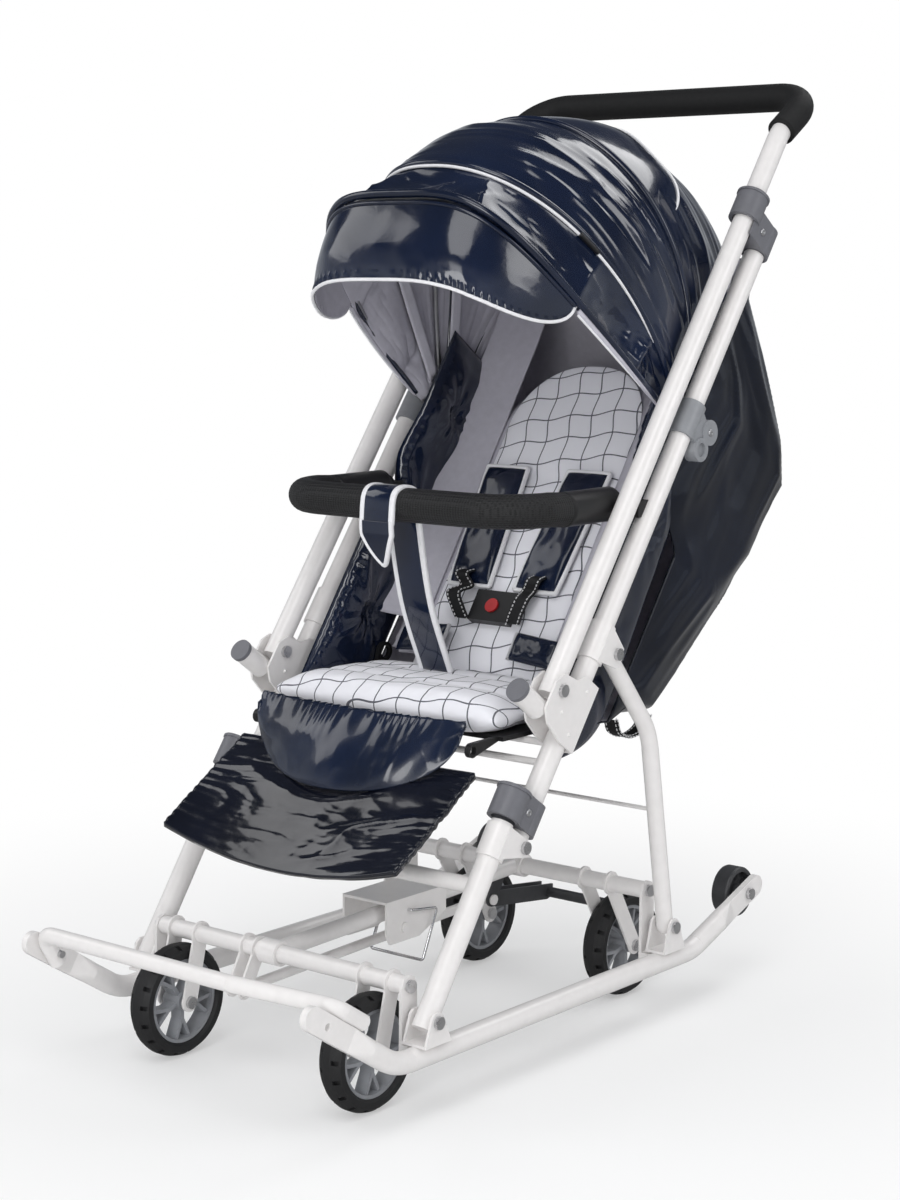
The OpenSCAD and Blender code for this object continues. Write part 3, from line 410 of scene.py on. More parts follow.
def on_back(x: Array, y: Array, z: Array) -> Array:
    """Points on the back pad's own axes: y up the pad, z out of its front."""
    return tilted(RECLINE_AXIS, RECLINE_ANGLE, x, y, z)


def lattice_noise(p: Array, seed: int = 0) -> Array:
    """Smooth value noise.

    Args:
        p: points (..., 3) in cells of the noise.
        seed: which noise.
    Returns:
        A value in 0..1 at each point.
    """
    cell = np.floor(p).astype(np.int64)
    f = p - cell
    f = f * f * f * (f * (f * 6 - 15) + 10)
    total = np.zeros(p.shape[:-1])
    for corner in range(8):
        bits = np.array([corner >> k & 1 for k in range(3)])
        at = cell + bits
        h = (at[..., 0] * 374761393 + at[..., 1] * 668265263 + at[..., 2] * 2147483647 + seed * 1274126177)
        h = (h ^ (h >> 13)) * 1274126177 & 0xFFFFFFFF
        h = (h ^ (h >> 16)) & 0xFFFF
        total += np.prod(np.where(bits, f, 1 - f), -1) * h / 65535.0
    return total


def swells(u: Array, v: Array, seed: int) -> Array:
    """Broad soft swells about 0."""
    return lattice_noise(xyz(u, v, 0.0), seed) - 0.5


def ridges(u: Array, v: Array, seed: int) -> Array:
    """Sharp-crested folds.

    Args:
        u: place across the folds.
        v: place along them.
        seed: which folds.
    Returns:
        A height in 0..1 at each place.
    """
    p = xyz(u + 0.35 * np.sin(v * 2.1 + u), v, 0.0)
    big = 1 - np.abs(2 * lattice_noise(p, seed) - 1)
    small = 1 - np.abs(2 * lattice_noise(p * 2.3 + 7.7, seed + 1) - 1)
    return 0.7 * big ** 1.6 + 0.3 * small ** 1.4


def bell(x: Array, middle: float, wide: float) -> Array:
    """A smooth bump of height 1."""
    return np.exp(-((x - middle) / wide) ** 2)


def crown(u: Array, v: Array, power: float) -> Array:
    """1 in the middle of a patch, falling to 0 at its rims."""
    return (1 - np.abs(2 * u - 1) ** power) * (1 - np.abs(2 * v - 1) ** power)


def unit(vectors: Array) -> Array:
    """Vectors brought to length 1."""
    return vectors / np.maximum(np.linalg.norm(vectors, axis=-1, keepdims=True), 1e-9)


def run_of(points: Array) -> Array:
    """Length along a polyline at each of its points."""
    return np.concatenate([[0.0], np.cumsum(np.linalg.norm(np.diff(points, axis=0), axis=1))])


def even(points: Array, count: int) -> Array:
    """Spread points at even steps along a polyline.

    Args:
        points: the polyline (n, 3) or (n, 2).
        count: number of new points.
    Returns:
        The new points.
    """
    run = run_of(points)
    want = np.linspace(0, run[-1], count)
    return np.stack([np.interp(want, run, column) for column in points.T], -1)


def spline(points: Rows, count: int) -> Array:
    """Draw a smooth curve through points.

    Args:
        points: the points.
        count: number of steps on the curve.
    Returns:
        Points at even steps.
    """
    p = np.asarray(points, float)
    p = np.vstack([2 * p[0] - p[1], p, 2 * p[-1] - p[-2]])
    t = np.linspace(0, 1, 24, endpoint=False)[:, None]
    rows = [0.5 * (2 * b + (c - a) * t + (2 * a - 5 * b + 4 * c - d) * t ** 2 + (3 * b - a - 3 * c + d) * t ** 3)
            for a, b, c, d in zip(p, p[1:], p[2:], p[3:])]
    return even(np.vstack([*rows, p[-2][None]]), count)


def grid(nu: int, nv: int) -> tuple[Array, Array, Array]:
    """Lay a grid over a patch.

    Args:
        nu: steps in u.
        nv: steps in v.
    Returns:
        Even u and v in 0..1, and the quads.
    """
    u, v = np.meshgrid(np.linspace(0, 1, nu + 1), np.linspace(0, 1, nv + 1), indexing="ij")
    at = np.arange(u.size).reshape(u.shape)
    return u, v, np.stack([at[:-1, :-1], at[1:, :-1], at[1:, 1:], at[:-1, 1:]], -1).reshape(-1, 4)


class Shop:
    """Makes finished meshes and puts them on their bodies."""

    PRESSURE = 4.0
    FRAMES = 20

    def mesh(self, name: str, points: Array, faces: Sequence[Sequence[int]], *looks: Look) -> Object:
        """Make a smooth mesh object and report it.

        Args:
            name: object name.
            points: points, mm.
            faces: rows of point numbers.
            looks: finishes.
        Returns:
            The object.
        """
        data = bpy.data.meshes.new(name)
        data.from_pydata((np.asarray(points).reshape(-1, 3) * MM).tolist(), [], [list(map(int, f)) for f in faces])
        for look in looks:
            data.materials.append(look.build())
        data.polygons.foreach_set("use_smooth", np.ones(len(data.polygons), bool))
        data.update()
        LOG.info("%s: %d faces", name, len(data.polygons))
        return self.show(name, data)

    @staticmethod
    def show(name: str, data: Mesh) -> Object:
        """Put a mesh into the scene."""
        obj = bpy.data.objects.new(name, data)
        bpy.context.scene.collection.objects.link(obj)
        return obj

    def skin(self, name: str, place: Place, nu: int, nv: int, *looks: Look, thick: float = 2.0,
             outward: float = -1.0, flip: bool = False) -> Object:
        """A cloth sheet from place(u, v), given thickness.

        Args:
            name: object name.
            place: gives points for arrays u, v in 0..1.
            nu: steps in u.
            nv: steps in v.
            looks: outer finish, then lining.
            thick: cloth thickness, mm.
            outward: solidify offset.
            flip: turn the outer side to the other face.
        Returns:
            The sheet.
        """
        u, v, faces = grid(nu, nv)
        obj = self.mesh(name, place(u, v), faces[:, ::-1] if flip else faces, *looks)
        wall = obj.modifiers.new("wall", "SOLIDIFY")
        wall.thickness, wall.offset, wall.use_even_offset = thick * MM, outward, False
        wall.material_offset = len(looks) - 1
        return obj

    def pillow(self, name: str, face: Face, nu: int, nv: int, look: Look, swap: bool = False) -> Object:
        """A closed pad between two faces with shared rims.

        Args:
            name: object name.
            face: gives points for u, v in 0..1 on the front (True) or the back.
            nu: steps in u.
            nv: steps in v.
            look: finish.
            swap: the pad is a mirrored one, so its back comes first.
        Returns:
            The pad.
        """
        u, v, quads = grid(nu, nv)
        points = np.stack([face(u, v, front) for front in (not swap, swap)])
        at, n = np.arange(u.size).reshape(u.shape), u.size
        rim = np.concatenate([at[:-1, 0], at[-1, :-1], at[:0:-1, -1], at[0, :0:-1]])
        onward = np.roll(rim, -1)
        walls = np.stack([onward, rim, rim + n, onward + n], -1)
        return self.mesh(name, points, np.vstack([quads, quads[:, ::-1] + n, walls]), look)

    def rings(self, name: str, rings: Array, look: Look) -> Object:
        """A closed body through rings of points.

        Args:
            name: object name.
            rings: points (count, sides, 3), mm.
            look: finish.
        Returns:
            The body.
        """
        at = np.arange(rings[..., 0].size).reshape(rings.shape[:2])
        beside = np.roll(at, -1, 1)
        walls = np.stack([at[:-1], beside[:-1], beside[1:], at[1:]], -1).reshape(-1, 4)
        return self.mesh(name, rings, [*walls, at[0, ::-1], at[-1]], look)

    def tube(self, name: str, path: Array, radius: float, look: Look, sides: int = 10, flat: float = 1.0) -> Object:
        """A round or flattened tube along a path.

        Args:
            name: object name.
            path: points of its middle, mm.
            radius: half its width, mm.
            look: finish.
            sides: number of sides.
            flat: height as a share of the width.
        Returns:
            The tube.
        """
        along = unit(np.gradient(path, axis=0))
        side = np.cross(along[0], (0.31, 0.22, 0.92))
        rings = []
        turn = np.linspace(0, 2 * np.pi, sides, endpoint=False)[:, None]
        for p, d in zip(path, along):
            side = unit(side - d * (side @ d))
            rings.append(p + radius * (np.cos(turn) * side + flat * np.sin(turn) * np.cross(d, side)))
        return self.rings(name, np.array(rings), look)

    def strap(self, name: str, path: Array, width: float, thick: float, look: Look) -> Object:
        """A flat band along a path, level across.

        Args:
            name: object name.
            path: points of its middle, mm.
            width: width, mm.
            thick: thickness, mm.
            look: finish.
        Returns:
            The band.
        """
        wide = np.array(LEVEL) * width / 2
        deep = unit(np.cross(unit(np.gradient(path, axis=0)), LEVEL)) * thick / 2
        obj = self.rings(name, np.stack([path - wide - deep, path + wide - deep, path + wide + deep,
                                         path - wide + deep], 1), look)
        edge = obj.modifiers.new("edge", "BEVEL")
        edge.width, edge.segments = min(thick, width) * 0.3 * MM, 2
        return obj

    @staticmethod
    def refine(obj: Object) -> Object:
        """Smooth a mesh with subdivision."""
        sub = obj.modifiers.new("smooth", "SUBSURF")
        sub.levels = sub.render_levels = 1
        return obj

    @staticmethod
    def put(obj: Object, body: str, *nodes: str) -> Object:
        """Put a piece on its body.

        Args:
            obj: the piece.
            body: body that it rides.
            nodes: CAD nodes that it stands for.
        Returns:
            The piece.
        """
        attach(obj, body)
        if nodes:
            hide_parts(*nodes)
        return obj

    def pad(self, obj: Object, fill: float, body: str, *nodes: str) -> Object:
        """Put a padded piece on its body."""
        return self.put(obj, body, *nodes)

    @staticmethod
    def sheet(obj: Object, flat: tuple[float, float], held: Cloth, *rests_on: str) -> None:
        """Log the cut of a cloth sheet, grown to the area measured from the mesh.

        Args:
            obj: the sheet.
            flat: width and length of the cut, mm.
            held: how it is held; not used.
            rests_on: pieces under it; not used.
        """
        area = sum(p.area for p in obj.data.polygons)
        wide, long = (f * MM for f in flat)
        scale = max(1.0, math.sqrt(area / (wide * long)))
        LOG.info("%s: cut %.3f x %.3f m", obj.name, wide * scale, long * scale)

    def puff(self, obj: Object, voxel: float, cap: float, fill: float) -> Object:
        """Blow a pad up with a short cloth simulation, moved by at most cap millimetres.

        Args:
            obj: closed pad.
            voxel: remesh size, mm.
            cap: largest move, mm.
            fill: how full the pad is; not used.
        Returns:
            The pad.
        """
        scene = bpy.context.scene
        mesh = obj.modifiers.new("even", "REMESH")
        mesh.mode, mesh.voxel_size = "VOXEL", voxel * MM
        self.flatten(obj)
        rest = np.array([p.co for p in obj.data.vertices])
        sim = obj.modifiers.new("cloth", "CLOTH")
        sim.settings.use_pressure = True
        sim.settings.uniform_pressure_force = self.PRESSURE
        sim.settings.effector_weights.gravity = 0.0
        sim.settings.quality = 5
        sim.point_cache.frame_start, sim.point_cache.frame_end = 1, self.FRAMES
        for frame in range(1, self.FRAMES + 1):
            scene.frame_set(frame)
        self.flatten(obj)
        scene.frame_set(1)
        move = np.array([p.co for p in obj.data.vertices]) - rest
        size = np.linalg.norm(move, axis=1, keepdims=True)
        now = rest + move * np.minimum(1.0, cap * MM / np.maximum(size, 1e-9))
        obj.data.vertices.foreach_set("co", now.ravel())
        obj.data.update()
        obj.data.polygons.foreach_set("use_smooth", np.ones(len(obj.data.polygons), bool))
        self.refine(obj)
        return obj

    @staticmethod
    def flatten(obj: Object) -> None:
        """Turn the modifiers into plain mesh."""
        graph = bpy.context.evaluated_depsgraph_get()
        data = bpy.data.meshes.new_from_object(obj.evaluated_get(graph))
        old = obj.data
        obj.modifiers.clear()
        obj.data = data
        data.name = obj.name
        bpy.data.meshes.remove(old)


@dataclass
class Repeats:
    """Geometry Nodes that repeat small pieces: stitches along a seam, copies of a piece on points."""

    shop: Shop
    thread_radius: float = 0.75

    def run(self, name: str, data: Mesh, body: str, look: Look, inputs: dict[str, tuple[str, object]],
            wire: Callable) -> None:
        """Repeat a piece by nodes, keep the plain mesh and put it on its body.

        Args:
            name: name of the new piece.
            data: mesh of the points or lines.
            body: body that it rides.
            look: finish.
            inputs: type and value of each input of the nodes.
            wire: adds the nodes that give the points, the piece and the direction of each copy.
        """
        tree = bpy.data.node_groups.new(name, "GeometryNodeTree")
        inputs = {**inputs, "Finish": ("Material", look.build())}
        keys = {label: tree.interface.new_socket(label, in_out="INPUT", socket_type=f"NodeSocket{kind}").identifier
                for label, (kind, _) in {"Geometry": ("Geometry", None), **inputs}.items()}
        tree.interface.new_socket("Geometry", in_out="OUTPUT", socket_type="NodeSocketGeometry")
        add, link = tree.nodes.new, tree.links.new
        start, end = add("NodeGroupInput").outputs, add("NodeGroupOutput")
        turn, copies = add("FunctionNodeAlignRotationToVector"), add("GeometryNodeInstanceOnPoints")
        real, paint = add("GeometryNodeRealizeInstances"), add("GeometryNodeSetMaterial")
        points, piece, facing = wire(add, link, start)
        for source, target in (
                (points, copies.inputs["Points"]), (piece, copies.inputs["Instance"]),
                (facing, turn.inputs["Vector"]), (turn.outputs["Rotation"], copies.inputs["Rotation"]),
                (copies.outputs["Instances"], real.inputs["Geometry"]),
                (real.outputs["Geometry"], paint.inputs["Geometry"]), (start["Finish"], paint.inputs["Material"]),
                (paint.outputs["Geometry"], end.inputs["Geometry"])):
            link(source, target)
        obj = self.shop.show(name, data)
        mod = obj.modifiers.new(name, "NODES")
        mod.node_group = tree
        for label, (_, value) in inputs.items():
            mod[keys[label]] = value
        obj.update_tag()
        self.shop.flatten(obj)
        LOG.info("%s: %d faces repeated", obj.name, len(obj.data.polygons))
        self.shop.put(obj, body)

    def stitches(self, name: str, paths: Sequence[Array], body: str, pitch: float, length: float) -> None:
        """Sew rows of dashes.

        Args:
            name: name of the new piece.
            paths: the rows, mm.
            body: body that it rides.
            pitch: step from dash to dash, mm.
            length: length of a dash, mm.
        """

        def wire(add: Callable, link: Callable, start: dict) -> tuple[NodeSocket, ...]:
            """Put a dash on every step of the rows."""
            curve, steps = add("GeometryNodeMeshToCurve"), add("GeometryNodeResampleCurve")
            dash, along = add("GeometryNodeMeshCylinder"), add("GeometryNodeInputTangent")
            steps.mode = "LENGTH"
            dash.inputs["Vertices"].default_value = 6
            link(start["Geometry"], curve.inputs["Mesh"])
            link(curve.outputs["Curve"], steps.inputs["Curve"])
            link(start["Pitch"], steps.inputs["Length"])
            link(start["Radius"], dash.inputs["Radius"])
            link(start["Length"], dash.inputs["Depth"])
            return steps.outputs["Curve"], dash.outputs["Mesh"], along.outputs["Tangent"]

        data = bpy.data.meshes.new(name)
        points, edges = [], []
        for path in paths:
            first = len(points)
            points += (np.asarray(path) * MM).tolist()
            edges += [(k, k + 1) for k in range(first, len(points) - 1)]
        data.from_pydata(points, edges, [])
        sizes = (("Pitch", pitch), ("Length", length), ("Radius", self.thread_radius))
        self.run(name, data, body, THREAD, {label: ("Float", size * MM) for label, size in sizes}, wire)

    def copy(self, name: str, spot: Array, out: Sequence[float], piece: Object, body: str, look: Look) -> None:
        """Copy a piece.

        Args:
            name: name of the copy.
            spot: its place, mm.
            out: direction that its Z turns to.
            piece: what is copied.
            body: body that it rides.
            look: finish.
        """

        def wire(add: Callable, link: Callable, start: dict) -> tuple[NodeSocket, ...]:
            """Put the piece on the spot."""
            info, facing = add("GeometryNodeObjectInfo"), add("GeometryNodeInputNamedAttribute")
            facing.data_type = "FLOAT_VECTOR"
            facing.inputs["Name"].default_value = "out"
            link(start["Piece"], info.inputs["Object"])
            return start["Geometry"], info.outputs["Geometry"], facing.outputs["Attribute"]

        data = bpy.data.meshes.new(name)
        data.from_pydata([(np.asarray(spot, float) * MM).tolist()], [], [])
        field = data.attributes.new("out", "FLOAT_VECTOR", "POINT")
        field.data.foreach_set("vector", np.asarray(out, np.float32))
        self.run(name, data, body, look, {"Piece": ("Object", piece)}, wire)


@dataclass(frozen=True)
class HoodLine:
    """A line over the hood from the left pivot to the right one.

    Args:
        top: angle round the pivot on top, degrees.
        lean: change of the angle down to the pivot.
        reach: radius on top, mm.
        square: below 1, how square the shoulders are.
        rise: below 1, how fast the radius grows.
    """

    top: float
    lean: float
    reach: float
    square: float
    rise: float

    LOW = 46.0

    def polar(self, t: Array) -> tuple[Array, Array, Array]:
        """Width, radius and angle at t in 0..1."""
        c, n = np.cos(np.pi * t), np.abs(np.sin(np.pi * t))
        share = n ** self.rise
        return (HALF_WIDTH * np.sign(c) * np.abs(c) ** self.square, self.LOW + (self.reach - self.LOW) * share,
                self.top + self.lean * (1 - share))

    def points(self, t: Array, out: float = 0.0, ahead: float = 0.0) -> Array:
        """Points on the line, moved out and turned ahead by some degrees."""
        x, r, angle = self.polar(t)
        return hood_at(x, r + out, angle + ahead)


FRONT_LINE = HoodLine(139.2, 6.4, 400.0, 0.52, 1.0)
SEAM_LINE = HoodLine(128.7, -14.1, 387.0, 0.855, 0.966)
BEAD_LINE = HoodLine(101.3, -24.2, 367.0, 0.937, 0.8)
HOOP_LINE = HoodLine(107.0, -12.0, 371.0, 0.92, 0.83)
HEM_LINE = HoodLine(62.0, -24.0, 330.0, 0.8, 0.8)


def hood_at(x: Array, r: Array, angle: Array) -> Array:
    """Points at a radius and an angle in degrees round the hood's pivot."""
    a = np.radians(angle)
    return xyz(x, HOOD_AXIS[0] + r * np.cos(a), HOOD_AXIS[1] + r * np.sin(a))


def arch_steps(v: Array) -> Array:
    """Place along the hood's lines for even steps v over the arch."""
    t = np.linspace(0, 1, 2000)
    run = run_of(SEAM_LINE.points(t))
    return np.interp(v, run / run[-1], t)


@dataclass
class Group:
    """Pieces that are made together."""

    shop: Shop

    def build(self) -> None:
        """Make the pieces."""
        raise NotImplementedError


@dataclass
class Hood(Group):
    """Folding hood: rear, middle and front panels, visor, rear flap, curtain, piping, lining and hoops."""

    rod_radius: float = 3.5
    rod_under: Pair = (-9.0, -2.2)
    gather: Pair = (150.0, 54.0)
    gather_radius: float = 390.0
    visor_ends: Pair = (0.185, 0.815)
    flap_ends: Pair = (0.19, 0.81)
    curtain_foot: Pair = (328.0, 862.0)

    @staticmethod
    def panel(front: HoodLine, rear: HoodLine, lift: Lift) -> Place:
        """Lay a panel between two lines.

        Args:
            front: line of its front edge.
            rear: line of its rear edge.
            lift: moves it outward.
        Returns:
            The panel's shape.
        """

        def place(u: Array, v: Array) -> Array:
            """Points of the panel, u from front to rear."""
            t = arch_steps(v)
            x, r, angle = (p * (1 - u) + q * u for p, q in zip(front.polar(t), rear.polar(t)))
            share = (r - HoodLine.LOW) / 340
            out = lift(u, v)
            return hood_at(x + np.sign(x) * np.clip(out * (1 - share), -8, 5), r + out * share, angle)

        return place

    @staticmethod
    def gathers(u: Array, v: Array) -> Array:
        """Scalloped hollows of the panel that folds between the front roll and the zip."""
        band = np.sin(np.pi * u) ** 0.7
        scallop = np.abs(np.sin(np.pi * (7 * v + 0.25 + 0.2 * np.sin(9 * v)))) ** 0.6
        creases = ridges(v * 22, u * 2.4, 21) - 0.5
        return band * (5 - 17 * scallop + 5 * creases)

    @staticmethod
    def smooth_folds(seed: int, deep: float) -> Lift:
        """Long folds that run from the pivots over a taut panel.

        Args:
            seed: which folds.
            deep: their depth, mm.
        Returns:
            The folds.
        """

        def lift(u: Array, v: Array) -> Array:
            """Height of the folds."""
            side = bell(np.minimum(v, 1 - v), 0.16, 0.14)
            long = ridges(u * 5 + 2 * v, v * 4, seed) - 0.45
            taut = np.sin(np.pi * u) ** 0.5
            return taut * (5 + deep * (0.5 + side) * long + 0.9 * deep * swells(u * 2.2, v * 7, seed + 5))

        return lift

    def build(self) -> None:
        """Make the hood."""
        shop, taut = self.shop, Cloth.STRETCHED
        rods = [self.hoop("hood_front_hoop", FRONT_LINE, "hood_front"),
                self.hoop("hood_main_hoop", HOOP_LINE, "hood_middle")]
        rear = self.panel(BEAD_LINE, HEM_LINE, self.smooth_folds(3, 7))
        middle = self.panel(SEAM_LINE, BEAD_LINE, self.smooth_folds(11, 9))
        front = self.panel(FRONT_LINE, SEAM_LINE, self.gathers)
        for name, place, steps, thick, cut, held, nodes in (
                ("hood_rear_cloth", rear, (60, 170), 2.2, (780, 260), taut, ("hood_rear",)),
                ("hood_middle_cloth", middle, (70, 190), 2.2, (800, 190), taut, ("hood_main",)),
                ("hood_front_cloth", front, (44, 260), 2.2, (840, 110), Cloth.GATHERED, ("hood_front",)),
                ("visor", self.visor, (34, 170), 2.6, (560, 95), taut, ()),
                ("rear_flap", self.flap, (16, 120), 2.2, (560, 130), taut, ()),
                ("hood_curtain", self.curtain, (24, 90), 2.0, (320, 120), taut, ())):
            sheet = shop.skin(name, place, *steps, PATENT, LINING, thick=thick, flip=name == "visor")
            shop.sheet(sheet, cut, held, *rods)
            self.hang(sheet, *nodes)
        row = np.linspace(0, 1, 240)
        arch = arch_steps(np.linspace(0.015, 0.985, 300))
        for name, path, size, look in (
                ("visor_piping", self.visor(np.ones(240), row), 2.0, WHITE_TRIM),
                ("visor_seam", self.visor(np.zeros(240), row), 2.6, PATENT),
                ("flap_piping", self.flap(np.ones(240), row), 1.8, WHITE_TRIM),
                ("front_roll", FRONT_LINE.points(arch, 3, -1.6), 5.0, PATENT),
                ("zip_piping", SEAM_LINE.points(arch, 2), 1.9, WHITE_TRIM),
                ("zip_band", SEAM_LINE.points(arch, 1, -1.1), 4.2, PATENT),
                ("rear_bead", BEAD_LINE.points(arch, 3), 4.2, PATENT)):
            self.hang(shop.tube(name, path, size, look))
        low = np.linspace(0.012, self.visor_ends[0] - 0.008, 60)
        for (_, name), edge in zip(SIDES[::-1], (low, 1 - low)):
            self.hang(shop.tube(f"front_binding_{name}", FRONT_LINE.points(edge, 1, 0.3), 3.2, LINING))
            self.hang(shop.tube(f"front_trim_{name}", FRONT_LINE.points(edge, -1, 1.3), 1.5, WHITE_TRIM))
        for name, line in (("lining_seam_front", SEAM_LINE), ("lining_seam_rear", BEAD_LINE)):
            band = shop.skin(name, self.seam(line), 4, 90, SEAM_CLOTH, thick=1.2, outward=0.0)
            shop.sheet(band, (24, 700), taut, *rods)
            self.hang(band)
        pull = SEAM_LINE.points(np.linspace(0.188, 0.222, 14), 6, 0.2)
        self.hang(shop.tube("zip_pull", pull, 5.0, BLACK, flat=0.6))

    def hang(self, obj: Object, *nodes: str) -> None:
        """Turn a piece of the hood into plain mesh where it stands and hide the CAD nodes that it stands for.

        Args:
            obj: the piece.
            nodes: CAD nodes that it stands for.
        """
        self.shop.flatten(obj)
        start, end = hood_at(0.0, self.gather_radius, np.array(self.gather)) * MM
        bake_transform(obj)
        if nodes:
            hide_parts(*nodes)

    def hoop(self, name: str, line: HoodLine, body: str) -> str:
        """Make a bent steel hoop under the cloth, from pivot to pivot.

        Args:
            name: CAD node that it stands for.
            line: line of the hood that it follows.
            body: body that it rides.
        Returns:
            Name of the hoop.
        """
        arch = line.points(arch_steps(np.linspace(0.012, 0.988, 160)), *self.rod_under)
        tips = arch[[0, -1]]
        pins = xyz(tips[:, 0], *HOOD_AXIS)
        first, last = pins + (tips - pins) * 0.25
        rod = self.shop.tube(f"{name}_rod", even(np.vstack([first, arch, last]), 200), self.rod_radius, STEEL)
        return self.shop.put(rod, body, name).name

    @staticmethod
    def seam(line: HoodLine) -> Place:
        """A taped seam under a line of the hood.

        Args:
            line: the line.
        Returns:
            The tape's shape.
        """

        def place(u: Array, v: Array) -> Array:
            """Points of the tape, u across it."""
            x, r, angle = line.polar(arch_steps(0.03 + 0.94 * v))
            wide = np.degrees(11 / np.maximum(r, 60))
            return hood_at(x * (1 - 9 / HALF_WIDTH), r - 14, angle + wide * (2 * u - 1) - 1.2)

        return place

    def visor(self, u: Array, v: Array) -> Array:
        """The peak that hangs forward from the front roll and rounds off at its ends."""
        first, last = self.visor_ends
        top = FRONT_LINE.points(first + (last - first) * v)
        fall = (1 - np.abs(2 * v - 1) ** 2.6) ** 0.6 * u
        puff = 7 * np.sin(np.pi * u) * np.sin(np.pi * v) ** 0.5
        gather = 2.0 * np.sin(v * 260) * bell(u, 0.93, 0.05) + 3 * (ridges(v * 9, u * 1.5, 31) - 0.5) * u
        return top + xyz(0.0, -30 * fall - puff - gather, -84 * fall)

    def curtain(self, u: Array, v: Array) -> Array:
        """The cloth that hangs from the rear hem down inside the top of the bag."""
        hem = HEM_LINE.points(0.2 + 0.6 * v, -3)
        foot = xyz(hem[..., 0], *self.curtain_foot)
        wave = xyz(0.0, 3 * np.sin(v * 31) * np.sin(np.pi * u), 0.0)
        return hem + (foot - hem) * u[..., None] + wave

    def flap(self, u: Array, v: Array) -> Array:
        """The loose flap behind the rear bead."""
        first, last = self.flap_ends
        x, r, angle = BEAD_LINE.polar(first + (last - first) * v)
        wide = (1 - np.abs(2 * v - 1) ** 5) ** 0.5 * u
        wave = 3 * np.sin(v * 21) * u
        return hood_at(x, r + 5 - 8 * u + wave, angle - 21 * wide)


@dataclass
class BackBag(Group):
    """Cloth shell behind the seat with long folds."""

    line: Rows = ((52, 367.2), (190, 358), (345, 478), (471, 596), (466, 650), (425, 752), (380, 838), (347, 893))
    corner: float = 55.0

    def place(self, u: Array, v: Array) -> Array:
        """Points round the shell: u from the left front edge round the back, v up the line."""
        c, n = math.cos(MAIN_ANGLE), math.sin(MAIN_ANGLE)
        line = even(np.asarray(self.line, float), 200)
        t = np.linspace(0, 1, len(line))
        y, z = (np.interp(v, t, column) for column in line.T)
        along = (y - KNEE[0]) * c + (z - KNEE[1]) * n
        gap = 36 + 70 * np.clip((500 - along) / 70, 0, 1) ** 2
        reach = np.maximum(2.0, (y - KNEE[0]) * n - (z - KNEE[1]) * c - gap)
        r = np.minimum(self.corner, reach)
        flat, bend, half = reach - r, r * np.pi / 2, HALF_WIDTH - r
        run = (2 * u - 1) * (flat + bend + half)
        far = np.abs(run)
        turn = np.clip((far - half) / np.maximum(bend, 1e-6), 0, 1) * np.pi / 2
        x = np.minimum(far, half) + r * np.sin(turn)
        ahead = r * (1 - np.cos(turn)) + np.maximum(0, far - half - bend)
        ease = np.sin(np.pi * np.clip(v, 0, 1)) ** 0.5 * np.clip((reach - ahead) / 40, 0, 1)
        out = ease * (9 * ridges(run / 48, v * 3.2, 41) - 3)
        x = x + np.sin(turn) * out
        ahead = ahead - np.cos(turn) * out
        return xyz(np.sign(run) * x, y - n * ahead, z + c * ahead)

    def build(self) -> None:
        """Make the shell."""
        bag = self.shop.skin("back_bag", self.place, 220, 120, BAG_PATENT, LINING, thick=2.4, flip=True)
        self.shop.put(bag, "main_frame", "back_cover")
        self.shop.sheet(bag, (900, 900), Cloth.GATHERED, "seat_board")


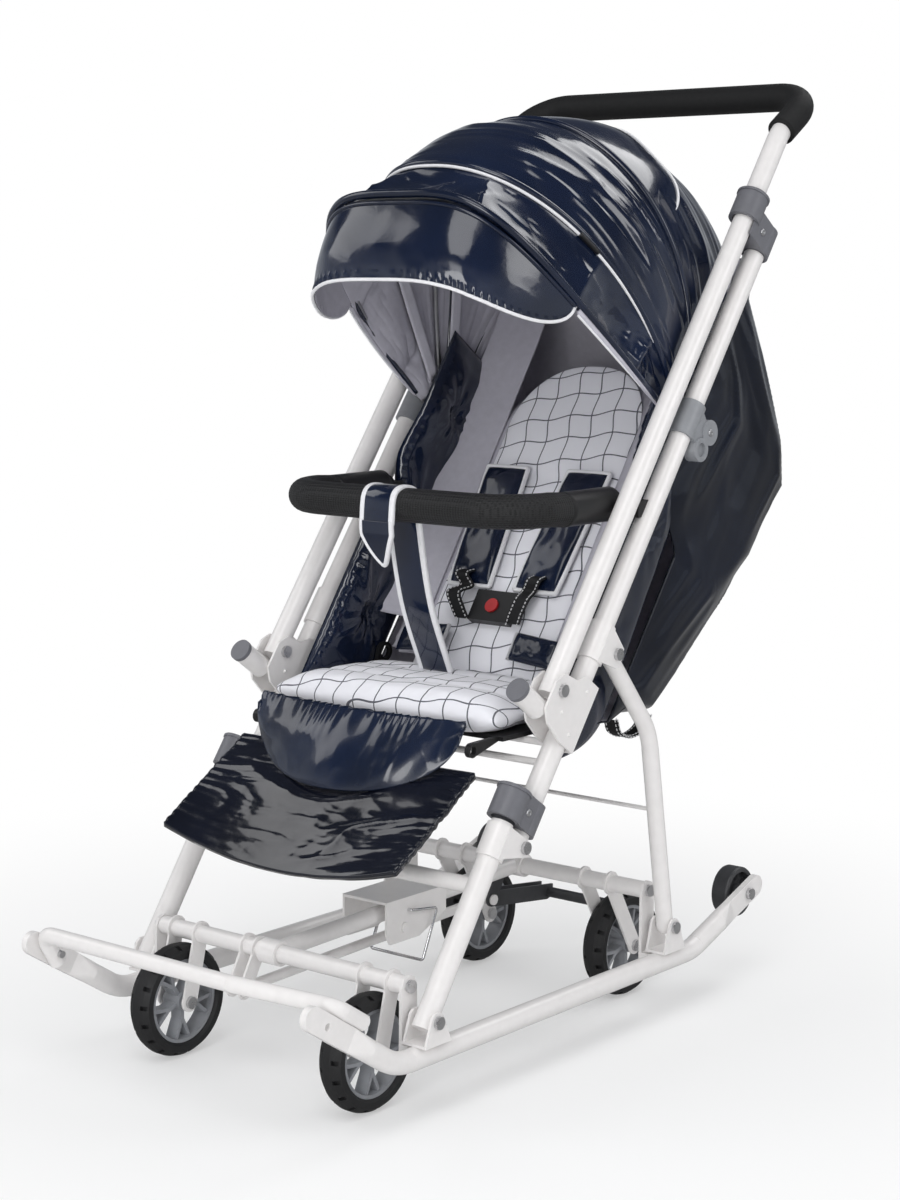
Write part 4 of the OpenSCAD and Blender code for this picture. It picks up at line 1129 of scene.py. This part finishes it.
@dataclass
class SeatSet(Group):
    """Cushion, back pad, side panels and the grey wings between them."""

    seat_half: float = 172.0
    seat_depth: float = 168.0
    back_half: float = 158.0
    back_height: float = 420.0
    insert_half: float = 98.0
    wing_height: float = 484.0
    tufts: Sequence[float] = (0.28, 0.55, 0.82)

    def build(self) -> None:
        """Make the seat."""
        shop = self.shop
        pad = shop.pillow("seat_cushion", self.seat, 60, 40, NetPrint("net_print_seat", SEAT_TURN))
        shop.put(shop.puff(pad, 5, 5, 0.7), "main_frame", "seat_pad")
        pad = shop.pillow("back_pad", self.back, 56, 64, LINING)
        shop.put(shop.puff(pad, 5, 5, 0.6), "backrest", "backrest_pad")
        panel = shop.pillow("back_insert", self.insert, 44, 70, NetPrint("net_print_back", -RECLINE_ANGLE))
        shop.pad(shop.refine(panel), 0.5, "backrest")
        for side, name in SIDES:
            self.side(side, name)
            self.wing(side, name)

    def seat(self, u: Array, v: Array, top: bool) -> Array:
        """The cushion with two sewn grooves across."""
        c, k = 2 * u - 1, crown(u, v, 5)
        groove = bell(v, 0.36, 0.03) + bell(v, 0.68, 0.03)
        y = -120 - 15 * (1 - c ** 2) * (1 - v) + self.seat_depth * v
        z = 392 + (19 * k ** 0.6 - 4 * groove * k + 2 if top else -16.5 * k ** 0.4)
        return xyz((self.seat_half - 16 * v) * c, y, z)

    def back(self, u: Array, v: Array, front: bool) -> Array:
        """The grey pad, hollow in the middle."""
        c, k = 2 * u - 1, crown(u, v, 6)
        arch = 1 - 0.34 * v * np.abs(c) ** 3
        hollow = 5 * (1 - np.abs(c) ** 2.5)
        z = (14 - hollow) * k ** 0.5 if front else -7.0 * k ** 0.4
        return on_back(self.back_half * c, -6 + self.back_height * v * arch, z)

    def insert(self, u: Array, v: Array, front: bool) -> Array:
        """The printed panel on the pad, round on top."""
        c, k = 2 * u - 1, crown(u, v, 6)
        round_top = np.sqrt(np.maximum(0.0, 1 - (np.abs(c) * 0.985) ** 2.4))
        tuft = bell(v, 0.34, 0.03) + bell(v, 0.62, 0.03)
        z = 15 + ((5 - 2.5 * tuft) * k ** 0.5 if front else -3 * k ** 0.5)
        return on_back(self.insert_half * c, -20 + (334 + 96 * round_top) * v, z)

    def side(self, side: int, name: str) -> None:
        """A padded side panel with sewn tufts."""

        def face(u: Array, v: Array, inner: bool) -> Array:
            """Points on the side to the child or on the outside, u up the tube."""
            k = crown(u, v, 4) ** 0.5
            s = 128 + 520 * u
            socket = bell(s, 416, 34)
            lead = (14 + 12 * u) * (1 - socket) - 4 * socket
            rear = 104 - 34 * u - 52 * np.maximum(0, 1 - u / 0.16) ** 2
            pull = np.zeros_like(u)
            for tuft in self.tufts:
                du, dv = (u - tuft) * 4.6, v - 0.5
                far = np.hypot(du, dv)
                star = 0.5 + 0.5 * np.cos(np.arctan2(dv, du) * 11)
                pull += bell(far, 0, 0.13) * 9 + bell(far, 0, 0.5) * star * 3
            edge = 2.2 * np.sin(u * 240) * bell(v, 0.07, 0.06)
            bulk = k * (13 + 6 * ridges(v * 2.2, u * 8, 51 + side)) - np.minimum(pull, 11) * k + edge * k
            wall = 180 - 9 * np.clip((s - 470) / 60, 0, 1)
            return main_at(side * (wall + (-bulk if inner else 0.4 * bulk)), s, lead - (lead + rear) * v)

        pad = self.shop.pillow(f"side_panel_{name}", face, 110, 40, PATENT, swap=side > 0)
        self.shop.pad(pad, 0.6, "main_frame", *(("side_panels",) if side > 0 else ()))

    def wing(self, side: int, name: str) -> None:
        """The grey cloth from the side panel to the back pad."""

        def place(u: Array, v: Array) -> Array:
            """Points of the wing, u from the panel to the pad."""
            lift = 12 * np.clip((v - 0.8) / 0.2, 0, 1) ** 2
            z = 18 + 13 * (1 - u) ** 2 + 2.5 * np.sin(np.pi * u) + lift
            return on_back(side * (170 - 68 * u), 40 + self.wing_height * v, z)

        wing = self.shop.skin(f"wing_{name}", place, 24, 60, LINING, outward=0.0)
        self.shop.put(wing, "main_frame")
        self.shop.sheet(wing, (90, 495), Cloth.STRETCHED, f"side_panel_{name}")


@dataclass
class FootSet(Group):
    """Apron and footrest."""

    apron_half: float = 150.0
    apron_drop: float = 86.0
    foot_half: float = 173.0
    foot_reach: float = 132.0
    foot_fall: float = 82.0

    def build(self) -> None:
        """Make the apron and the footrest."""
        shop = self.shop
        flap = shop.skin("apron_cloth", self.apron, 200, 40, APRON_PATENT, thick=3.0, outward=0.0)
        shop.put(flap, "footrest", "apron")
        rest = shop.skin("footrest_cloth", self.foot, 130, 110, FOOT_PATENT, thick=7.0, outward=0.0)
        shop.pad(rest, 0.4, "footrest", "footrest")
        shop.sheet(flap, (300, 100), Cloth.GATHERED, "footrest_cloth")

    def apron(self, u: Array, v: Array) -> Array:
        """The round flap under the seat's edge, gathered on top."""
        c = 2 * u - 1
        span = np.sqrt(np.maximum(0, 1 - np.abs(c) ** 2.4))
        gather = 2.4 * np.sin(u * 120 + 4 * np.sin(u * 17)) * np.exp(-v / 0.10) * span
        folds = 9 * swells(u * 7 + v, v * 1.4, 61) + 3 * (ridges(u * 7, v * 1.2, 63) - 0.4)
        folds = folds * np.sin(np.pi * np.clip(v, 0, 1)) ** 0.6
        puff = 13 * np.sin(np.pi * v) ** 0.8 * span
        y = -147 - 14 * (1 - c ** 2) - 52 * v * (1 - 0.8 * c ** 2) - gather - folds - puff
        z = 395 - (self.apron_drop * span + 17) * v * (1 - 0.2 * v)
        return xyz(self.apron_half * c, y, z)

    def foot(self, u: Array, v: Array) -> Array:
        """The hanging footrest with rippled cloth."""
        c = 2 * u - 1
        rip = 7 * (ridges(v * 4 + 0.5 * c, u * 2.2, 71) - 0.5) + 1.2 * (ridges(v * 12, u * 6, 75) - 0.5)
        rip = rip * (1 - 0.55 * np.abs(c) ** 4)
        hem = 0.5 * np.sin(v * 95) * np.abs(c) ** 10
        z = 341 - self.foot_fall * v - 26 * (1 - c ** 2) * v ** 2 + rip * np.sin(np.pi * v) ** 0.4 + hem
        return xyz((self.foot_half + 0.5 * np.sin(v * 75)) * c, -158 - self.foot_reach * v, z)


@dataclass
class Bumper(Group):
    """Foam bar with its mesh sleeve and the strap over it."""

    half: float = 172.0
    bend: float = 58.0
    height: float = 618.0
    radius: float = 19.4
    cap_radius: float = 19.8
    strap_size: Pair = (44.0, 4.0)
    binding_size: Pair = (7.0, 5.6)
    strap: Rows = ((0, -111, 596), (0, -106, 630), (0, -88, 638), (0, -66, 628), (0, -62, 590), (0, -42, 500),
                   (0, -6, 416))
    shift: float = -8.0

    def path(self) -> Array:
        """The bar's centre line."""
        turn = np.linspace(0, np.pi / 2, 24)
        left = xyz(self.half - self.bend + self.bend * np.cos(turn), -30 - self.bend * np.sin(turn), self.height)
        right = left[::-1] * (-1, 1, 1)
        ends = [[[side * self.half, 0, self.height - 2]] for side in (1, -1)]
        return even(np.vstack([ends[0], left, right, ends[1]]), 160)

    @staticmethod
    def tip(u: Array, v: Array) -> Array:
        """The strap's pointed end in front of the bar."""
        half = 22 * (1 - np.maximum(0, (v - 0.3) / 0.7)) ** 0.75
        bend = 3 * np.sin(np.pi * v)
        return xyz(-8 + 8 * v + half * (2 * u - 1), -111.5 - bend + 5 * v ** 2, 600 - 50 * v)

    def build(self) -> None:
        """Make the bumper."""
        shop = self.shop
        foam = shop.tube("bumper_sleeve", self.path(), self.radius, KnitMesh(), sides=28)
        shop.pad(foam, 0.9, "main_frame", "bumper_foam")
        for side, name in SIDES:
            cap = np.array([[self.half * side, y, self.height - 2] for y in np.linspace(-6, 84, 16)])
            shop.put(shop.tube(f"bumper_end_{name}", cap, self.cap_radius, BLACK, sides=28), "main_frame")
        path = spline(self.strap, 80) + (self.shift, 0, 0)
        shop.pad(shop.strap("crotch_band", path, *self.strap_size, PATENT), 0.3, "main_frame", "crotch_strap")
        flap = shop.skin("crotch_flap", self.tip, 20, 40, PATENT, thick=4.0, outward=0.0)
        shop.put(flap, "main_frame")
        shop.sheet(flap, (48, 56), Cloth.HUNG, "crotch_band")
        row = np.linspace(0, 0.995, 40)
        rim = np.vstack([self.tip(np.zeros(40), row), self.tip(np.ones(40), row)[::-1]])
        shop.put(shop.tube("flap_binding", even(rim, 120), 3.6, WHITE_TRIM, flat=0.7), "main_frame")
        for side, name in SIDES:
            edge = path + np.array([21.5 * side, 0, 0])
            shop.put(shop.strap(f"crotch_binding_{name}", edge, *self.binding_size, WHITE_TRIM), "main_frame")


@dataclass
class Grip(Group):
    """Foam sleeve over the handle's top, round both corners."""

    end: Triple = (207.0, 382.0, 1043.4)
    corner: Triple = (207.0, 452.4, 1089.1)
    bend: float = 46.0
    radius: float = 17.2

    def build(self) -> None:
        """Make the sleeve."""
        corner, across = np.array(self.corner), np.array(LEVEL)
        arm = unit(self.end - corner)
        turn = np.linspace(0, np.pi / 2, 20)[:, None]
        middle = corner + self.bend * (arm - across)
        half = np.vstack([self.end, middle + self.bend * (np.cos(turn) * across - np.sin(turn) * arm)])
        line = even(np.vstack([half, half[::-1] * (-1, 1, 1)]), 150)
        sleeve = self.shop.tube("grip_sleeve", line, self.radius, GRIP, sides=28)
        self.shop.pad(sleeve, 0.9, "handle", "handle_grip")


@dataclass
class Harness(Group):
    """Shoulder pads, waist pads and webbing on the back pad, and the loops under the seat."""

    shoulder_half: float = 31.0
    shoulder_length: float = 164.0
    waist_length: float = 66.0
    webbing: Pair = (22.0, 2.2)
    loop_webbing: Pair = (20.0, 2.4)
    tape: Rows = ((52, 112, 26), (55, 98, 42), (47, 86, 34), (52, 70, 46), (44, 54, 38), (38, 44, 30))
    loop: Rows = ((158, 112, 360), (158, 120, 344), (158, 144, 336), (158, 170, 342), (158, 180, 356))
    front: Triple = (0.0, -0.83, 0.56)

    def build(self) -> None:
        """Make the harness."""
        rows = []
        for side, name in SIDES:
            self.shoulder(side, name)
            tape = on_back(*spline(np.array(self.tape) * (side, 1, 1), 60).T)
            self.shop.put(self.shop.strap(f"webbing_{name}", tape, *self.webbing, WEBBING), "backrest")
            out = self.outward(tape)
            out = out * np.sign(out @ np.array(self.front))[:, None]
            rows += [tape + (across, 0, 0) + out * 1.5 for across in (-8, 8)]
            self.waist(side, name)
        Repeats(self.shop).stitches("webbing_stitches", rows, "backrest", 5.0, 2.6)
        self.loops()

    @staticmethod
    def outward(path: Array) -> Array:
        """Normals of a band that is level across."""
        return unit(np.cross(LEVEL, np.gradient(path, axis=0)))

    def shoulder(self, side: int, name: str) -> None:
        """A shoulder pad with its white binding."""

        def face(u: Array, v: Array, front: bool) -> Array:
            """Points of the pad, v up the back."""
            k = crown(u, v, 5) ** 0.5
            bulge = 8 * k + 2.4 * (ridges(u * 2.5, v * 4, 81) - 0.4) * k
            x = side * (50 + 12 * v) + self.shoulder_half * (2 * u - 1)
            return on_back(x, 90 + self.shoulder_length * v, 27 + (bulge if front else -5 * k))

        pad = self.shop.pillow(f"shoulder_pad_{name}", face, 24, 50, PAD_PATENT)
        self.shop.pad(pad, 0.7, "backrest", *(("harness",) if side < 0 else ()))
        rim, none, full = np.linspace(0, 1, 60), np.zeros(60), np.ones(60)
        sides = ((none, rim), (rim, full), (full, rim[::-1]), (rim[::-1], none))
        loop = np.vstack([face(u, v, True) for u, v in sides])
        self.shop.put(self.shop.tube(f"shoulder_binding_{name}", even(loop, 200), 3.0, WHITE_TRIM), "backrest")

    def waist(self, side: int, name: str) -> None:
        """A waist pad that lies at the foot of the back pad, bound at its inner end."""

        def face(u: Array, v: Array, front: bool) -> Array:
            """Points of the pad, v out to the side."""
            k = crown(u, v, 4) ** 0.5
            bulge = k * (7 + 2 * ridges(u * 2, v * 4, 91))
            x = side * (52 + self.waist_length * v)
            return on_back(x, 16 + 36 * (u - 0.5) - 6 * v, 31 + (bulge if front else -5 * k))

        pad = self.shop.pillow(f"waist_pad_{name}", face, 16, 30, PAD_PATENT, swap=side > 0)
        self.shop.pad(pad, 0.6, "backrest")
        rim, none = np.linspace(0, 1, 30), np.zeros(30)
        edge = np.vstack([face(rim, none, True), face(rim[::-1], none, False)])
        self.shop.put(self.shop.tube(f"waist_binding_{name}", even(edge, 60), 2.6, WHITE_TRIM), "backrest")

    def loops(self) -> None:
        """Webbing loops with dashed stitches under the rear of the seat."""
        rows = []
        for side, name in SIDES:
            path = spline(np.array(self.loop) * (side, 1, 1), 50)
            self.shop.put(self.shop.strap(f"strap_loop_{name}", path, *self.loop_webbing, WEBBING), "main_frame")
            out = self.outward(path)
            rows += [path + (a, 0, 0) + out * 1.5 * b for a in (-7, 7) for b in (-1, 1)]
            rows += [path + (10.2 * a, 0, 0) for a in (-1, 1)]
        Repeats(self.shop).stitches("loop_stitches", rows, "main_frame", 5.5, 3.0)


@dataclass
class SmallParts(Group):
    """Screw heads on the collars and knuckles."""

    head: Rows = ((4.2, -0.4), (4.2, 0.5), (3.4, 1.4), (1.6, 1.7), (1.5, 0.8))
    sunk: float = 4.2

    def build(self) -> None:
        """Make the screws."""
        turn = np.linspace(0, 2 * np.pi, 20, endpoint=False)
        rings = [xyz(r * np.cos(turn), r * np.sin(turn), h) for r, h in self.head]
        head = self.shop.rings("screw_head", np.array(rings), ZINC)
        for side, name in SIDES[::-1]:
            for label, body, node, sunk, s, off in (
                    ("handle_collar", f"handle_collar_{name}", "handle_collar_left", self.sunk, 800, 21),
                    ("lower_collar", f"lower_collar_{name}", "lower_collar_left", self.sunk, 34, 17),
                    ("hood_knuckle", "main_frame", "hood_knuckles", 0.0, 550, -29)):
                spot = main_at(side * (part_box(node)[1][0] / MM - sunk + 0.1), s, off)
                Repeats(self.shop).copy(f"{label}_screw_{name}", spot, (side, 0, 0), head, body, ZINC)
        bpy.data.objects.remove(head)


@dataclass
class Studio:
    """Floor, light, background and camera."""

    floor: float = 30.0
    lamps: Sequence[tuple] = (("key", (1.2, -2.0, 3.4), 2.0, 34), ("fill", (-2.8, -1.4, 2.6), 1.8, 17),
                              ("rim", (0.4, 2.4, 3.2), 1.8, 28), ("near", (3.2, 0.6, 2.2), 1.2, 16),
                              ("front", (1.1, -3.0, 1.0), 1.3, 26))
    aim: Triple = (0.0, 0.0, 0.5)
    eye: Triple = (1.7403, -2.1001, 0.8853)
    eye_turn: Triple = (math.radians(81.94), 0.0, math.radians(39.53))
    lens: float = 71.01
    sensor: float = 36.0
    soft_power: float = 0.52

    def build(self) -> None:
        """Set the stage."""
        scene = bpy.context.scene
        scene.view_settings.view_transform = "Standard"
        scene.view_settings.look = "None"
        data, f = bpy.data.meshes.new("floor"), self.floor
        data.from_pydata([(-f, -f, 0), (f, -f, 0), (f, f, 0), (-f, f, 0)], [], [(0, 1, 2, 3)])
        data.materials.append(FloorWhite().build())
        self.stand("floor", data)
        for name, place, size, power in self.lamps:
            light = bpy.data.lights.new(name, "AREA")
            light.energy, light.size = power, size
            turn = (Vector(self.aim) - Vector(place)).to_track_quat("-Z", "Y").to_euler()
            self.stand(name, light, place, turn)
        self.world(scene)
        cam = bpy.data.cameras.new("camera")
        cam.sensor_fit, cam.sensor_height, cam.lens = "VERTICAL", self.sensor, self.lens
        scene.camera = self.stand("camera", cam, self.eye, self.eye_turn)

    @staticmethod
    def stand(name: str, data: bpy.types.ID, place: Sequence[float] = (0, 0, 0), turn: Sequence[float] = (0, 0, 0)
              ) -> Object:
        """Put a thing on the stage.

        Args:
            name: object name.
            data: mesh, light or camera.
            place: where it stands, m.
            turn: its rotation.
        Returns:
            The object.
        """
        obj = bpy.data.objects.new(name, data)
        bpy.context.scene.collection.objects.link(obj)
        obj.location, obj.rotation_euler = place, turn
        return obj

    def world(self, scene: Scene) -> None:
        """Light the scene: white to the camera, soft to matt faces, a dim room to shiny ones.

        Args:
            scene: the scene.
        """
        scene.world = bpy.data.worlds.new("studio")
        scene.world.use_nodes = True
        net = NodeNet(scene.world.node_tree)
        soft = net.tree.nodes["Background"]
        net.feed(soft.inputs["Color"], (0.97, 0.98, 1.0, 1.0))
        net.feed(soft.inputs["Strength"], self.soft_power)
        height = net.node("SeparateXYZ", {0: net.coords["Generated"]}).outputs["Z"]
        dim = net.ramp(height, (0.14, (0.45, 0.47, 0.5)), (0.4, (0.05, 0.055, 0.07)))
        room, white = (net.node("Background", {"Color": c}).outputs[0] for c in (dim, (1.0, 1.0, 1.0, 1.0)))
        shown = net.layer(soft.outputs[0], room, 1.0, "Is Glossy Ray")
        shown = net.layer(shown, white, 1.0, "Is Camera Ray", "Is Transmission Ray")
        net.feed(net.tree.nodes["World Output"].inputs["Surface"], shown)


@dataclass
class Paintwork:
    """Finishes of the rigid CAD pieces."""

    frame: dict

    def build(self) -> None:
        """Give every piece that stays its finish."""
        for finish, names in NODE_FINISH.items():
            for name in names.split():
                for slot in self.frame["nodes"][name].material_slots:
                    slot.material = finish.build()


def main() -> None:
    """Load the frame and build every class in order."""
    logging.basicConfig(level=logging.INFO, format="%(name)s %(message)s")
    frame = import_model()
    Paintwork(frame).build()
    shop = Shop()
    for group in (Hood, BackBag, SeatSet, FootSet, Bumper, Grip, Harness, SmallParts):
        group(shop).build()
    Studio().build()


if __name__ == "__main__":
    main()
